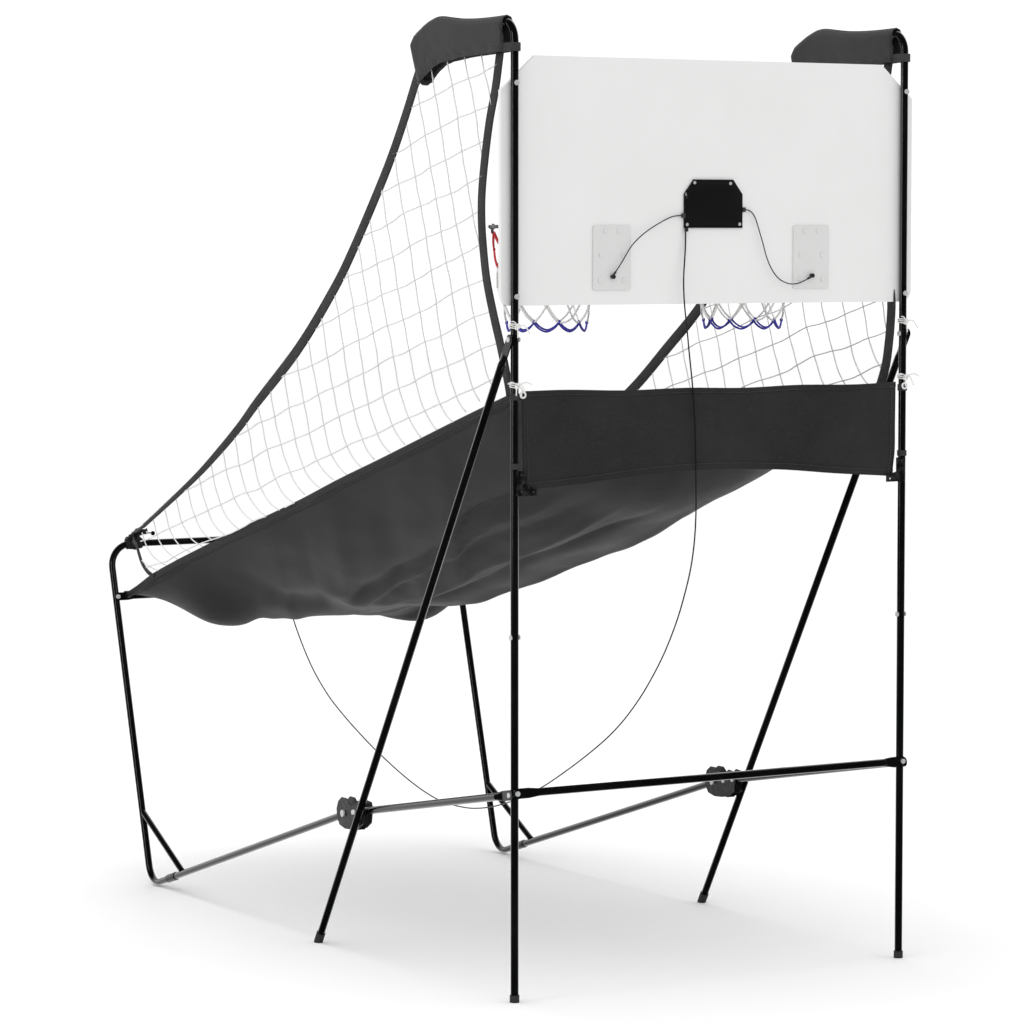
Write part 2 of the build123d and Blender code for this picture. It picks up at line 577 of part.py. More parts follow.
# ---------------------------------------------------------------- electronic scorer
def scorer():
    """Housing in front of the board, cover behind it, and what they hold."""
    half = SCORER_HALF
    low, high = SCORER_Z
    front = BOARD_REAR + BOARD_T
    deep = front + HOUSING_DEPTH
    shell = block((-88, front + 0.2, 1620), (88, deep, 1738))
    shell = fillet(shell.edges().filter_by(Axis.Y), 12)
    shell = shell - block((-84, front - 1, 1624), (84, deep - 3, 1734))
    shell = shell - block((-62, deep - 6, 1662), (62, deep + 3, 1722))
    for x in BUTTON_X:
        shell = shell - ahead_rod(x, BUTTON_Z, deep - 6, deep + 4, 7.3)
    save("scorer_housing", shell)

    rim_frame = block((-66, deep - 5.5, 1658), (66, deep - 3.2, 1726))
    window = block((-61.6, deep - 5.5, 1662.4), (61.6, deep - 0.6, 1721.6))
    save("display_lens", rim_frame + window)

    board = block((-78, front + 6, 1630), (78, front + 7.6, 1730))
    for x in (-36, -12, 12, 36):
        board = board + block((x - 9, front + 7.6, 1672), (x + 9, front + 15, 1712))
    board = board + block((-50, front + 7.6, 1636), (50, front + 9.2, 1644))
    save("circuit_board", board)

    cover_outline = [(-half, low), (half, low), (half, high - 31), (half - 24, high), (24 - half, high),
                     (-half, high - 31)]
    cover = front_plate(cover_outline, BOARD_REAR - COVER_T, BOARD_REAR)
    cover = cover + block((-54, BOARD_REAR - 1, 1646), (54, BOARD_REAR + 8, 1706))
    cover = cover - block((-51, BOARD_REAR - 1.5, 1649), (51, BOARD_REAR + 9, 1703))
    for x, z in cover_screw_places():
        cover = cover - ahead_rod(x, z, 0, 30, 2.0)
    cover = cover - block((66.3, -2, 1685.3), (72.7, 12, 1698.7))
    save("scorer_cover", cover)

    screws = []
    for x, z in cover_screw_places():
        head = ahead_rod(x, z, BOARD_REAR - COVER_T - 1.4, BOARD_REAR - COVER_T, 3.4)
        screws.append(head + ahead_rod(x, z, BOARD_REAR - COVER_T - 0.5, BOARD_REAR - 0.3, 1.9))
    save("cover_screws", screws)

    for number, x in enumerate(BUTTON_X):
        cap = ahead_rod(x, BUTTON_Z, deep - 6, deep + 3, 7.0)
        flange = ahead_rod(x, BUTTON_Z, deep - 6, deep - 3.4, 9.0)
        save(f"scorer_button_{number + 1}", cap + flange)

    slider = block((66.6, BOARD_REAR - COVER_T - 2, 1686), (72.4, BOARD_REAR - 1, 1692))
    save("power_switch", slider)

    jack_l = block((half, BOARD_REAR - 8, 1645), (half + 6, BOARD_REAR - 0.3, 1655))
    jack_r = block((-half - 6, BOARD_REAR - 8, 1658), (-half, BOARD_REAR - 0.3, 1668))
    gland = rod(at(70, 4.2, 1616), at(70, 4.2, 1624), 4.0)
    return [jack_l, jack_r, gland]


def cover_screw_places():
    """Four screws of the scorer's rear cover, as (across, up)."""
    return [(49, 1720), (-43, 1719), (68, 1631), (-67, 1632)]


# ---------------------------------------------------------------- soft goods
def ramp():
    """Ball return: a fabric trough slung between the side edges, down to the lower front bar.

    Each station holds its distance ahead, the height of the side edges and the height of the middle.
    """
    stations = [(26, 1272, 1124), (250, 1210, 960), (800, 1057, 797), (1400, 881, 684), (1926, 706, 664)]
    shares = [-1.0, -0.5, 0.0, 0.5, 1.0]
    sections = []
    for ahead, edge_z, middle_z in stations:
        top = []
        for share in shares:
            height = middle_z + (edge_z - middle_z) * share**2
            top.append(at(share * FABRIC_HALF, ahead, height))
        low = [point - Vector(0, 0, RAMP_T) for point in reversed(top)]
        sections.append(Polyline(*top, *low, close=True).wire())
    save("ramp_fabric", Solid.make_loft(sections, ruled=True))


def rear_panel():
    """Fabric panel between the posts with an arched lower hem."""
    low, high = PANEL_Z
    outline = [(-480, high), (480, high), (480, low - 4), (325, low + 7), (170, low + 21), (0, low + 26),
               (-170, low + 21), (-325, low + 7), (-480, low - 4)]
    save("rear_panel", front_plate(outline, -2.0, 2.0))


def side_net(name, side):
    """Side net with its webbing border, as a thin sheet; the two front borders sag differently."""
    front = {
        "L": [(491, 1868), (554, 1795), (623, 1714), (749, 1572), (841, 1482), (1005, 1351), (1215, 1219),
              (1410, 1096), (1542, 1024)],
        "R": [(489, 1865), (541, 1787), (598, 1700), (689, 1563), (786, 1446), (936, 1339), (1086, 1238),
              (1268, 1141), (1438, 1060), (1608, 984)],
    }[name]
    outline = [
        (100, 1984), (290, 1978), (345, 1956), (408, 1952), *front, (1742, 929),
        (1835, 884), (1848, 840), (1838, 795), (1790, 768),
        (1435, 880), (1000, 1003), (810, 1061), (273, 1217), (62, 1280),
        (53, 1300), (86, 1377), (115, 1441), (144, 1516), (166, 1596), (165, 1738), (140, 1829), (118, 1909),
    ]
    low = side * NET_X
    save(f"side_net_{name}", profile_plate(outline, low, low + side * NET_SHEET_T))


def hood(name, side):
    """Fabric sleeve over the forward arm, open towards the post and underneath."""
    x = side * POST_X
    outer = [(28, 1988), (30, 2066), (100, 2067), (230, 2069), (325, 2073), (378, 2058), (421, 2028),
             (410, 1950), (384, 1930), (339, 1957), (274, 1979), (180, 1986)]
    inner = [(10, 1983), (10, 2063), (100, 2064), (230, 2065.5), (323, 2068), (374, 2053), (414, 2024),
             (405, 1956), (384, 1923), (339, 1950), (274, 1972), (180, 1980)]
    sleeve = profile_plate(outer, x - HOOD_HALF, x + HOOD_HALF)
    hollow = profile_plate(inner, x - HOOD_HALF + 2, x + HOOD_HALF - 2)
    save(f"arm_hood_{name}", sleeve - hollow)


def straps_and_ties():
    """Straps round the posts and the knotted ties of the nets."""
    straps = []
    ties = []
    for name, side in SIDES:
        x = side * POST_X
        for low, high in STRAP_Z:
            straps.append(pipe(at(x, 0, low), at(x, 0, high), STRAP_R, STRAP_T))
        for z in TIE_Z:
            ties.append(Plane(origin=at(x, 0, z)) * Torus(10.2, 1.4))
    save("post_straps", straps)
    save("net_ties", ties)

    brackets = []
    for name, side in SIDES:
        outline = [(side * 500, 1119), (side * 477, 1119), (side * 477, 1088), (side * 450, 1080),
                   (side * 450, 1066), (side * 500, 1066)]
        bracket = front_plate(outline, -11.0, -8.6)
        for x, z in ((489, 1110), (489, 1075), (460, 1073)):
            bracket = bracket - ahead_rod(side * x, z, -20, 0, 2.2)
        brackets.append(bracket)
    save("panel_brackets", brackets)


# ---------------------------------------------------------------- cords
def cord_tube(name, points, radius):
    """Tube of straight runs and the largest tangent arcs; prints its radii and length."""
    route = [at(*p) for p in points]
    runs = [(b - a).length for a, b in zip(route, route[1:])]
    radii = []
    for i in range(1, len(route) - 1):
        turn = radians((route[i] - route[i - 1]).get_angle(route[i + 1] - route[i]))
        radii.append(0.45 * min(runs[i - 1], runs[i]) / tan(turn / 2))
    path = FilletPolyline(*route, radius=radii)
    tube = sweep(Plane(origin=path @ 0, z_dir=path % 0) * Circle(radius), path=path)
    expected = pi * radius ** 2 * path.length
    print(name, "length", round(path.length), "volume ratio", round(tube.volume / expected, 4),
          "longest run", round(max(runs)), "radii", [round(r) for r in radii])
    save(name, tube)


MAIN_CORD = [
    (72, 4.2, 1616), (72, 4.2, 1596), (77, -1, 1564), (85, -7, 1515), (83, -8, 1462), (76, -9, 1406),
    (69, -8, 1349), (62, -9, 1292), (57, -9, 1234), (55, -10, 1176), (53, -9, 1118), (51, -8, 1061),
    (48, -3, 1004), (44, 9, 947), (41, 27, 891), (39, 52, 838), (37, 80, 786), (36, 112, 736),
    (35, 147, 689), (34, 186, 645), (33, 227, 603), (32, 271, 564), (31, 317, 528), (30, 366, 495),
    (29, 417, 465), (28, 469, 437), (27, 521, 410), (26, 574, 384), (24, 627, 359), (23, 681, 335),
    (22, 736, 314), (20, 791, 295), (18, 847, 279), (17, 904, 264), (15, 961, 253), (14, 1019, 245),
    (13, 1077, 243), (12, 1135, 242), (11, 1193, 248), (10, 1250, 258), (9, 1306, 271), (8, 1362, 286),
    (7, 1417, 303), (6, 1472, 321), (6, 1526, 340), (5, 1579, 361), (5, 1632, 383), (4, 1684, 406),
    (4, 1735, 431), (3, 1783, 460), (3, 1828, 493), (2, 1870, 530), (2, 1908, 572), (1, 1943, 613),
    (0, 1966, 647), (0, 1966, 672),
]
SENSOR_WIRE_L = [
    (80.5, 5, 1650), (98, 5, 1650), (120, 1, 1644), (147, -2, 1632), (172, -3, 1619), (195, -3, 1603),
    (213, -2, 1586), (227, -3, 1567), (239, -2, 1548), (251, -1, 1532),
]
SENSOR_WIRE_R = [
    (-80.5, 5, 1663), (-94, 5, 1663), (-106, 2, 1647), (-113, -2, 1619), (-123, -3, 1590),
    (-132, -2, 1562), (-145, -3, 1535), (-163, -2, 1515), (-183, -3, 1505), (-205, -2, 1502),
    (-226, -3, 1507), (-241, -2, 1514),
]


def cords(fittings):
    """The lead from the scorer to the front box, the two sensor wires and their fittings."""
    cord_tube("main_cord", MAIN_CORD, CORD_R)
    cord_tube("sensor_wire_L", SENSOR_WIRE_L, WIRE_R)
    cord_tube("sensor_wire_R", SENSOR_WIRE_R, WIRE_R)
    for side, route in ((1, SENSOR_WIRE_L), (-1, SENSOR_WIRE_R)):
        end = at(*route[-1])
        way = (end - at(*route[-2])).normalized()
        boot = rod(end, end + way * 14, 2.3)
        fittings.append(boot + ahead_rod(side * HOOP_X, 1521, -1.5, BOARD_REAR - 3, 4.6))
    save("cord_fittings", fittings)


def control_box():
    """Small box clamped to the lower front bar, where the lead ends."""
    shell = block((-42, 1955, 672), (42, 1981, 740))
    shell = fillet(shell.edges().filter_by(Axis.Y), 6)
    shell = shell - block((-39, 1957.5, 675), (39, 1990, 737))
    for x in (-30, 30):
        ring = cross_rod(x - 5, x + 5, *BAR_LOW, TUBE_R + 2.2)
        shell = shell + ring - cross_rod(x - 9, x + 9, *BAR_LOW, TUBE_R + 0.1)
    save("control_box", shell)
    lid = block((-38.6, 1978, 675.4), (38.6, 1981, 736.6))
    save("control_box_lid", lid)


# ---------------------------------------------------------------- build
for side_name, side_sign in SIDES:
    post_nodes(side_name, side_sign)
    diagonal_leg(side_name, side_sign)
    rear_link(side_name, side_sign)
    hinge_bracket(side_name, side_sign)
    front_side_tube(side_name, side_sign)
    front_leg(side_name, side_sign)
    rim(side_name, side_sign)
    hoop_net(side_name, side_sign)
    sensor(side_name, side_sign)
    side_net(side_name, side_sign)
    hood(side_name, side_sign)
foot_caps()
rear_crossbar()
stand_bolts()
fold_pivots()
front_frame_parts()
backboard()
backing_plates()
rim_bolts()
sensor_pins()
scorer_fittings = scorer()
ramp()
rear_panel()
straps_and_ties()
cords(scorer_fittings)
control_box()
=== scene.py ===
"""Double basketball hoop machine with a fabric ball return, seen from behind. All sizes in metres."""
from math import copysign, cos, exp, pi, radians, sin, sqrt, tau

import bpy
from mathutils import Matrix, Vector, noise


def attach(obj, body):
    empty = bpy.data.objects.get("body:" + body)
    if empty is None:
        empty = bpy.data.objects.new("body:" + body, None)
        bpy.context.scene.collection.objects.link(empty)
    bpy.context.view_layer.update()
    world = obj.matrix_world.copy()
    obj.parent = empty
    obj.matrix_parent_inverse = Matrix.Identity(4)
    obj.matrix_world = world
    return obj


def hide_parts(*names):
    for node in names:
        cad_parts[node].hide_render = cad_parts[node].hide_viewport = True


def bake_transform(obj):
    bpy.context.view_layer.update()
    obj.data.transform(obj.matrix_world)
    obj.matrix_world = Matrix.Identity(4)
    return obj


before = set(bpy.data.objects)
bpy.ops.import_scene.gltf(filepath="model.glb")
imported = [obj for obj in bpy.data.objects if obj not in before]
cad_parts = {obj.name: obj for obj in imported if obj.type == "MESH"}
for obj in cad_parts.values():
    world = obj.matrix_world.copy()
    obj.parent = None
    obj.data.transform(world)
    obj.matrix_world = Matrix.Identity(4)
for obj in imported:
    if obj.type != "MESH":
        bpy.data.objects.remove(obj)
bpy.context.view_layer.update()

REAR = 0.99175                   # Y of the rear posts; "ahead" is measured from here towards -Y
SIDES = (("L", 1), ("R", -1))
POST_X = 0.499                   # distance of the posts and arms from the middle
NET_X = 0.4818                   # distance of the side nets from the middle
CLOTH_T = 0.0012                 # thickness of the single cloths
CAMERA_DIP = 4.042               # degrees below level
CAMERA_TURN = 149.169            # degrees round the vertical


def at(x, ahead, up):
    """Point from across, distance ahead of the rear posts and height."""
    return Vector((x, REAR - ahead, up))


def add_object(name, data):
    obj = bpy.data.objects.new(name, data)
    bpy.context.collection.objects.link(obj)
    return obj


def circle(count):
    """Cosine and sine of each of count equal steps round a full turn."""
    return [(cos(k * tau / count), sin(k * tau / count)) for k in range(count)]


def lump(a, b, c):
    """Smooth random number of about -1 to 1 at a place in noise space."""
    return noise.noise(Vector((a, b, c)))


# ---------------------------------------------------------------- camera
def add_camera():
    data = bpy.data.cameras.new("camera")
    data.lens = 137.55
    data.sensor_width = 36
    data.clip_start = 0.1
    data.clip_end = 100
    camera = add_object("camera", data)
    camera.location = (4.6717, 7.9724, 1.6077)
    camera.rotation_euler = (radians(90 - CAMERA_DIP), 0, radians(CAMERA_TURN))
    bpy.context.scene.camera = camera


add_camera()


# ---------------------------------------------------------------- materials
def add_node(tree, kind, inputs=(), **settings):
    """New shader node; each input is a socket to link or a value to set."""
    made = tree.nodes.new("ShaderNode" + kind)
    for key, value in settings.items():
        setattr(made, key, value)
    for key, value in dict(inputs).items():
        if isinstance(value, bpy.types.NodeSocket):
            tree.links.new(value, made.inputs[key])
        else:
            made.inputs[key].default_value = value
    return made


def toned(colour, factor):
    return tuple(c * factor for c in colour)


MATERIALS = {}


class Shader:
    """A node material round one Principled shader, kept in MATERIALS under its name."""

    def __init__(self, name, **values):
        MATERIALS[name] = bpy.data.materials.new(name)
        MATERIALS[name].use_nodes = True
        self.tree = MATERIALS[name].node_tree
        self.bsdf = self.tree.nodes["Principled BSDF"]
        for key, value in values.items():
            self.bsdf.inputs[key.replace("_", " ")].default_value = value
        self.place = self.node("TexCoord").outputs["Object"]

    def node(self, kind, inputs=(), **settings):
        return add_node(self.tree, kind, inputs, **settings)

    def link(self, socket, name):
        self.tree.links.new(socket, self.bsdf.inputs[name])

    def scaled(self, scale):
        """Object coordinates stretched by (x, y, z)."""
        return self.node("Mapping", {"Vector": self.place, "Scale": scale}).outputs["Vector"]

    def cloud(self, scale, detail=3.0, roughness=0.55, place=None):
        return self.node("TexNoise", {
            "Vector": place or self.place, "Scale": scale, "Detail": detail, "Roughness": roughness,
        }).outputs["Fac"]

    def ramp(self, value, low, high, stops=(0.3, 0.7)):
        """Colour from low to high as value goes between the stops."""
        made = self.node("ValToRGB", {"Fac": value})
        made.color_ramp.elements[0].position = stops[0]
        made.color_ramp.elements[1].position = stops[1]
        made.color_ramp.elements[0].color = (*low, 1)
        made.color_ramp.elements[1].color = (*high, 1)
        return made.outputs["Color"]

    def span(self, value, low, high, start=0.3, end=0.7):
        """Number from low to high as value goes from start to end."""
        return self.node("MapRange", {
            "Value": value, "From Min": start, "From Max": end, "To Min": low, "To Max": high,
        }).outputs["Result"]

    def maths(self, operation, a, b=0.0):
        return self.node("Math", {0: a, 1: b}, operation=operation).outputs["Value"]

    def mix(self, share, a, b):
        """Colour between a and b, each a socket or (r, g, b)."""
        a, b = (v if isinstance(v, bpy.types.NodeSocket) else (*v, 1) for v in (a, b))
        return self.node("Mix", {0: share, 6: a, 7: b}, data_type="RGBA").outputs[2]

    def finish(self, colour, value, rough, start=0.3, end=0.7):
        """Colour, and roughness between two limits as value goes from start to end."""
        self.link(colour, "Base Color")
        self.link(self.span(value, *rough, start, end), "Roughness")

    def bump(self, height, strength, distance):
        made = self.node("Bump", {"Height": height, "Strength": strength, "Distance": distance})
        self.link(made.outputs["Normal"], "Normal")

    def edges(self, low, high):
        """One on sharp outer edges, zero elsewhere."""
        point = self.node("NewGeometry").outputs["Pointiness"]
        return self.span(point, 0.0, 1.0, low, high)


def enamel(name, dark, light, rough=(0.14, 0.26), coat=0.8, worn_share=0.0):
    """Gloss powder coat: faint orange peel, scuffs in the gloss and, on plates, rubbed edges."""
    s = Shader(name, Coat_Weight=coat, Coat_Roughness=0.08)
    tint = s.ramp(s.cloud(9.0), dark, light)
    scuffs = s.cloud(38.0, 6.0, 0.7, s.scaled((1, 1, 0.12)))
    if worn_share:
        worn = s.maths("MULTIPLY", s.edges(0.56, 0.68), s.span(s.cloud(120.0), 0.0, worn_share, 0.45, 0.6))
        tint = s.mix(worn, tint, (0.20, 0.20, 0.205))
    s.finish(tint, scuffs, rough, 0.42, 0.7)
    s.bump(s.cloud(420.0, 2.0), 0.06, 0.0004)


def metal(name, colour):
    """Zinc-plated steel with a faint turned grain and darker spots."""
    s = Shader(name, Metallic=0.45)
    s.finish(s.ramp(s.cloud(160.0, 5.0), toned(colour, 0.82), colour), s.cloud(300.0, 4.0), (0.22, 0.42))
    s.bump(s.cloud(700.0, 2.0), 0.12, 0.0002)


def moulded(name, colour, rough=(0.38, 0.55), grain=650.0, depth=0.12, rubbed=0.4, shine=0.5):
    """Moulded plastic or rubber with a fine grain and paler edges."""
    s = Shader(name, Specular_IOR_Level=shine)
    pale = tuple(c + (0.30 - c) * 0.35 for c in colour)
    shade = s.ramp(s.cloud(24.0, 4.0), toned(colour, 0.86), toned(colour, 1.12))
    worn = s.maths("MULTIPLY", s.edges(0.56, 0.72), rubbed)
    s.finish(s.mix(worn, shade, pale), s.cloud(60.0, 4.0), rough)
    cells = s.node("TexVoronoi", {"Vector": s.place, "Scale": grain}).outputs["Distance"]
    s.bump(cells, depth, 0.0003)


def sheet_board(name, colour, dirt):
    """Painted fibreboard: flat satin face with slight cloudiness and a fine pebble."""
    s = Shader(name, Specular_IOR_Level=0.35)
    tint = s.ramp(s.cloud(5.0, 5.0, 0.6), dirt, colour, (0.25, 0.6))
    s.finish(tint, s.cloud(45.0, 5.0), (0.42, 0.6))
    s.bump(s.cloud(260.0, 3.0), 0.10, 0.0004)


def weave(s, pitch, across, along):
    """Height of a plain weave of the given pitch, from two crossed waves in the object's own axes."""
    waves = []
    for direction in (across, along):
        lane = s.node("VectorMath", {0: s.place, 1: direction}, operation="DOT_PRODUCT").outputs["Value"]
        waves.append(s.maths("SINE", s.maths("MULTIPLY", lane, tau / pitch)))
    return s.maths("MULTIPLY", waves[0], waves[1])


def cloth(name, colour, pitch=0.0016, across=(1, 0, 0), along=(0, 0.94, 0.34)):
    """Woven polyester: plain weave, slubs and faint creases."""
    s = Shader(name, Sheen_Weight=0.0, Sheen_Roughness=0.35, Specular_IOR_Level=0.13)
    threads = weave(s, pitch, across, along)
    slubs = s.cloud(1.0, 3.0, 0.6, s.scaled((90, 900, 220)))
    broad = s.cloud(4.5, 4.0, 0.6)
    base = s.ramp(broad, toned(colour, 0.80), toned(colour, 1.22), (0.3, 0.72))
    flecked = s.mix(s.span(slubs, 0.0, 0.35, 0.5, 0.75), base, toned(colour, 1.7))
    woven = s.mix(s.span(threads, 0.0, 0.30, -1.0, 1.0), flecked, toned(colour, 0.55))
    s.finish(woven, broad, (0.40, 0.55))
    crease = s.cloud(11.0, 6.0, 0.62, s.scaled((1.0, 1.0, 1.8)))
    height = s.maths("ADD", s.maths("MULTIPLY", threads, 0.10), s.maths("MULTIPLY", crease, 1.6))
    s.bump(height, 0.35, 0.0030)


def twine(name, colour, scale=520.0, relief=0.5):
    """Twisted cord: slanting strands in bump and colour."""
    s = Shader(name, Sheen_Weight=0.2)
    wave = s.node("TexWave", {
        "Vector": s.place, "Scale": scale, "Distortion": 2.5, "Detail": 2.0, "Detail Scale": 2.0,
    }, bands_direction="DIAGONAL").outputs["Fac"]
    s.finish(s.ramp(wave, toned(colour, 0.88), colour, (0.1, 0.7)), s.cloud(150.0), (0.6, 0.85))
    s.bump(wave, relief, 0.0005)


def ribbed(name, colour):
    """Webbing: ribs across the strap over a fine weave."""
    s = Shader(name, Sheen_Weight=0.04, Specular_IOR_Level=0.3)
    ribs = weave(s, 0.0024, (0.2, 0.7, 0.7), (0.0, 0.7, -0.7))
    shade = s.ramp(s.cloud(14.0, 4.0), toned(colour, 0.8), toned(colour, 1.2))
    tint = s.mix(s.span(ribs, 0.0, 0.35, -1.0, 1.0), shade, toned(colour, 0.5))
    s.finish(tint, s.cloud(80.0), (0.6, 0.8))
    s.bump(ribs, 0.35, 0.0006)


def circuit(name):
    """Green laminate with paler tracks."""
    s = Shader(name, Specular_IOR_Level=0.6)
    brick = s.node("TexBrick", {
        "Vector": s.scaled((1, 1, 1)), "Scale": 90.0, "Mortar Size": 0.06,
        "Color1": (0.01, 0.12, 0.04, 1), "Color2": (0.012, 0.10, 0.035, 1), "Mortar": (0.03, 0.26, 0.09, 1),
    })
    s.finish(brick.outputs["Color"], s.cloud(90.0), (0.25, 0.45))
    s.bump(brick.outputs["Fac"], 0.2, 0.0003)


enamel("black_tube", (0.0025, 0.0025, 0.0027), (0.005, 0.005, 0.0054))
enamel("black_plate", (0.003, 0.003, 0.0033), (0.006, 0.006, 0.0065), (0.28, 0.42), 0.15, 0.25)
metal("zinc_steel", (0.78, 0.79, 0.80))
moulded("rubber", (0.014, 0.014, 0.015), (0.72, 0.9), 420.0, 0.3)
sheet_board("board_white", (0.735, 0.735, 0.732), (0.715, 0.715, 0.71))
sheet_board("grey_plate", (0.63, 0.63, 0.627), (0.605, 0.605, 0.60))
enamel("rim_steel", (0.020, 0.020, 0.021), (0.045, 0.045, 0.047), (0.25, 0.4), 0.3)
cloth("dark_fabric", (0.027, 0.027, 0.0275))
cloth("hood_fabric", (0.045, 0.045, 0.0455), 0.0014, across=(0, 1, 0), along=(0, 0, 1))
ribbed("webbing", (0.036, 0.036, 0.0365))
twine("white_cord", (0.80, 0.80, 0.78))
twine("net_white", (0.86, 0.86, 0.85), 520.0, 0.2)
twine("net_red", (0.60, 0.010, 0.018))
twine("net_blue", (0.030, 0.022, 0.42))
twine("net_string", (0.70, 0.70, 0.70), 900.0, 0.15)
moulded("black_pvc", (0.010, 0.010, 0.011), (0.3, 0.45), 900.0, 0.06)
enamel("smoked_lens", (0.006, 0.003, 0.004), (0.010, 0.005, 0.006), (0.05, 0.12), 0.9)
circuit("green_board")
moulded("button_plastic", (0.55, 0.035, 0.030), (0.28, 0.4), 700.0, 0.08, 0.15)
moulded("black_plastic", (0.0018, 0.0018, 0.002), (0.34, 0.5), rubbed=0.2, shine=0.25)
twine("thread", (0.060, 0.060, 0.062), 1200.0)


def cad_finishes():
    """Every CAD node that stays takes its slot's material."""
    finishes = {
        "black_plastic": "control_box power_switch scorer sensor_housing",
        "black_plate": "hinge_bracket panel_brackets tube_sleeves",
        "black_pvc": "cord_fittings",
        "board_white": "backboard",
        "button_plastic": "scorer_button",
        "green_board": "circuit_board",
        "grey_plate": "backing_plates rim_bolts",
        "rim_steel": "rim_",
        "rubber": "foot_caps",
        "smoked_lens": "display_lens",
        "webbing": "post_straps",
        "zinc_steel": "bar_bolts cover_screws fold_pivot_bolts frame_bolts sensor_paddle sensor_pins",
    }
    by_start = {start: finish for finish, starts in finishes.items() for start in starts.split()}
    for name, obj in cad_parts.items():
        found = [start for start in by_start if name.startswith(start)]
        finish = by_start[max(found, key=len)] if found else "black_tube"
        obj.data.materials.clear()
        obj.data.materials.append(MATERIALS[finish])


cad_finishes()


# ---------------------------------------------------------------- mesh helpers
class Mesh:
    """Collects vertices and faces, then becomes one object."""

    def __init__(self):
        self.points = []
        self.faces = []
        self.indices = []

    def strip(self, rings, closed_ring=True, caps=True, material=0, loop=False):
        """Skin a list of equally long rings of points."""
        start = len(self.points)
        count = len(rings[0])
        for ring in rings:
            self.points.extend(ring)
        last = count if closed_ring else count - 1
        rows = len(rings)
        for i in range(rows if loop else rows - 1):
            for j in range(last):
                a = start + i * count + j
                b = start + i * count + (j + 1) % count
                c = start + ((i + 1) % rows) * count + (j + 1) % count
                d = start + ((i + 1) % rows) * count + j
                self.add([a, b, c, d], material)
        if caps and closed_ring and not loop:
            self.add([start + j for j in reversed(range(count))], material)
            end = start + (len(rings) - 1) * count
            self.add([end + j for j in range(count)], material)

    def surface(self, rings):
        """Skin rings that neither close nor have caps."""
        self.strip(rings, closed_ring=False, caps=False)

    def add(self, face, material=0):
        self.faces.append(face)
        self.indices.append(material)

    def tube(self, line, radius, sides=6, material=0, loop=False):
        """Round tube along points; radius is a number or one number a point."""
        count = len(line)
        radii = radius if isinstance(radius, (list, tuple)) else [radius] * count
        rings = []
        side = None
        for i, point in enumerate(line):
            before = line[i - 1] if (i or loop) else point
            after = line[(i + 1) % count] if (i < count - 1 or loop) else point
            run = (after - before).normalized()
            if side is None:
                side = run.orthogonal().normalized()
            side = (side - run * side.dot(run)).normalized()
            up = run.cross(side)
            rings.append([point + (side * x + up * y) * radii[i] for x, y in circle(sides)])
        self.strip(rings, material=material, loop=loop, caps=not loop)

    def ribbon(self, line, wide, thick, face_way):
        """Flat strap along points: wide across the line, thick along face_way (a vector, or one a point)."""
        ways = face_way if isinstance(face_way, list) else [face_way] * len(line)
        widths = wide if isinstance(wide, (list, tuple)) else [wide] * len(line)
        profile = [(-0.5, -0.25), (-0.44, -0.5), (0.44, -0.5), (0.5, -0.25), (0.5, 0.25), (0.44, 0.5),
                   (-0.44, 0.5), (-0.5, 0.25)]
        rings = []
        for i, point in enumerate(line):
            before = line[max(i - 1, 0)]
            after = line[min(i + 1, len(line) - 1)]
            run = (after - before).normalized()
            across = run.cross(ways[i]).normalized()
            face = across.cross(run).normalized()
            rings.append([point + across * (a * widths[i]) + face * (b * thick) for a, b in profile])
        self.strip(rings)

    def stitches(self, line, lift, pitch=0.007, reach=0.0045, radius=0.0005, material=0):
        """Short raised threads along points, lifted off the cloth by a vector."""
        total = 0.0
        for a, b in zip(line, line[1:]):
            run = b - a
            length = run.length
            while total < length:
                start = a + run * (total / length) + lift
                end = start + run.normalized() * reach
                self.tube([start, end], radius, 4, material)
                total += pitch
            total -= length

    def knot(self, centre, size, seed=0, material=0):
        """Small lumpy knot."""
        rings = []
        for i in range(1, 5):
            tilt = pi * i / 5
            ring = []
            for j in range(6):
                turn = tau * j / 6 + i * 0.4
                flat = sin(tilt)
                way = Vector((flat * cos(turn), flat * sin(turn), cos(tilt)))
                ring.append(centre + way * size * (1 + 0.22 * noise.noise(way * 3 + Vector((seed, 0, 0)))))
            rings.append(ring)
        self.strip(rings, material=material)

    def build(self, name, materials, smooth=True):
        data = bpy.data.meshes.new(name)
        data.from_pydata([tuple(p) for p in self.points], [], self.faces)
        for material in materials if isinstance(materials, (list, tuple)) else [materials]:
            data.materials.append(MATERIALS[material])
        data.polygons.foreach_set("material_index", self.indices)
        data.polygons.foreach_set("use_smooth", [smooth] * len(self.faces))
        data.update()
        data.validate()
        return add_object(name, data)


def smooth_line(points, step):
    """Catmull-Rom curve through points, sampled about every step."""
    points = [Vector(p) for p in points]
    line = []
    for i in range(len(points) - 1):
        p0 = points[max(i - 1, 0)]
        p1, p2 = points[i], points[i + 1]
        p3 = points[min(i + 2, len(points) - 1)]
        count = max(1, round((p2 - p1).length / step))
        for k in range(count):
            t = k / count
            line.append(0.5 * (2 * p1 + (p2 - p0) * t + (2 * p0 - 5 * p1 + 4 * p2 - p3) * t * t
                               + (3 * p1 - p0 - 3 * p2 + p3) * t ** 3))
    line.append(points[-1])
    return line


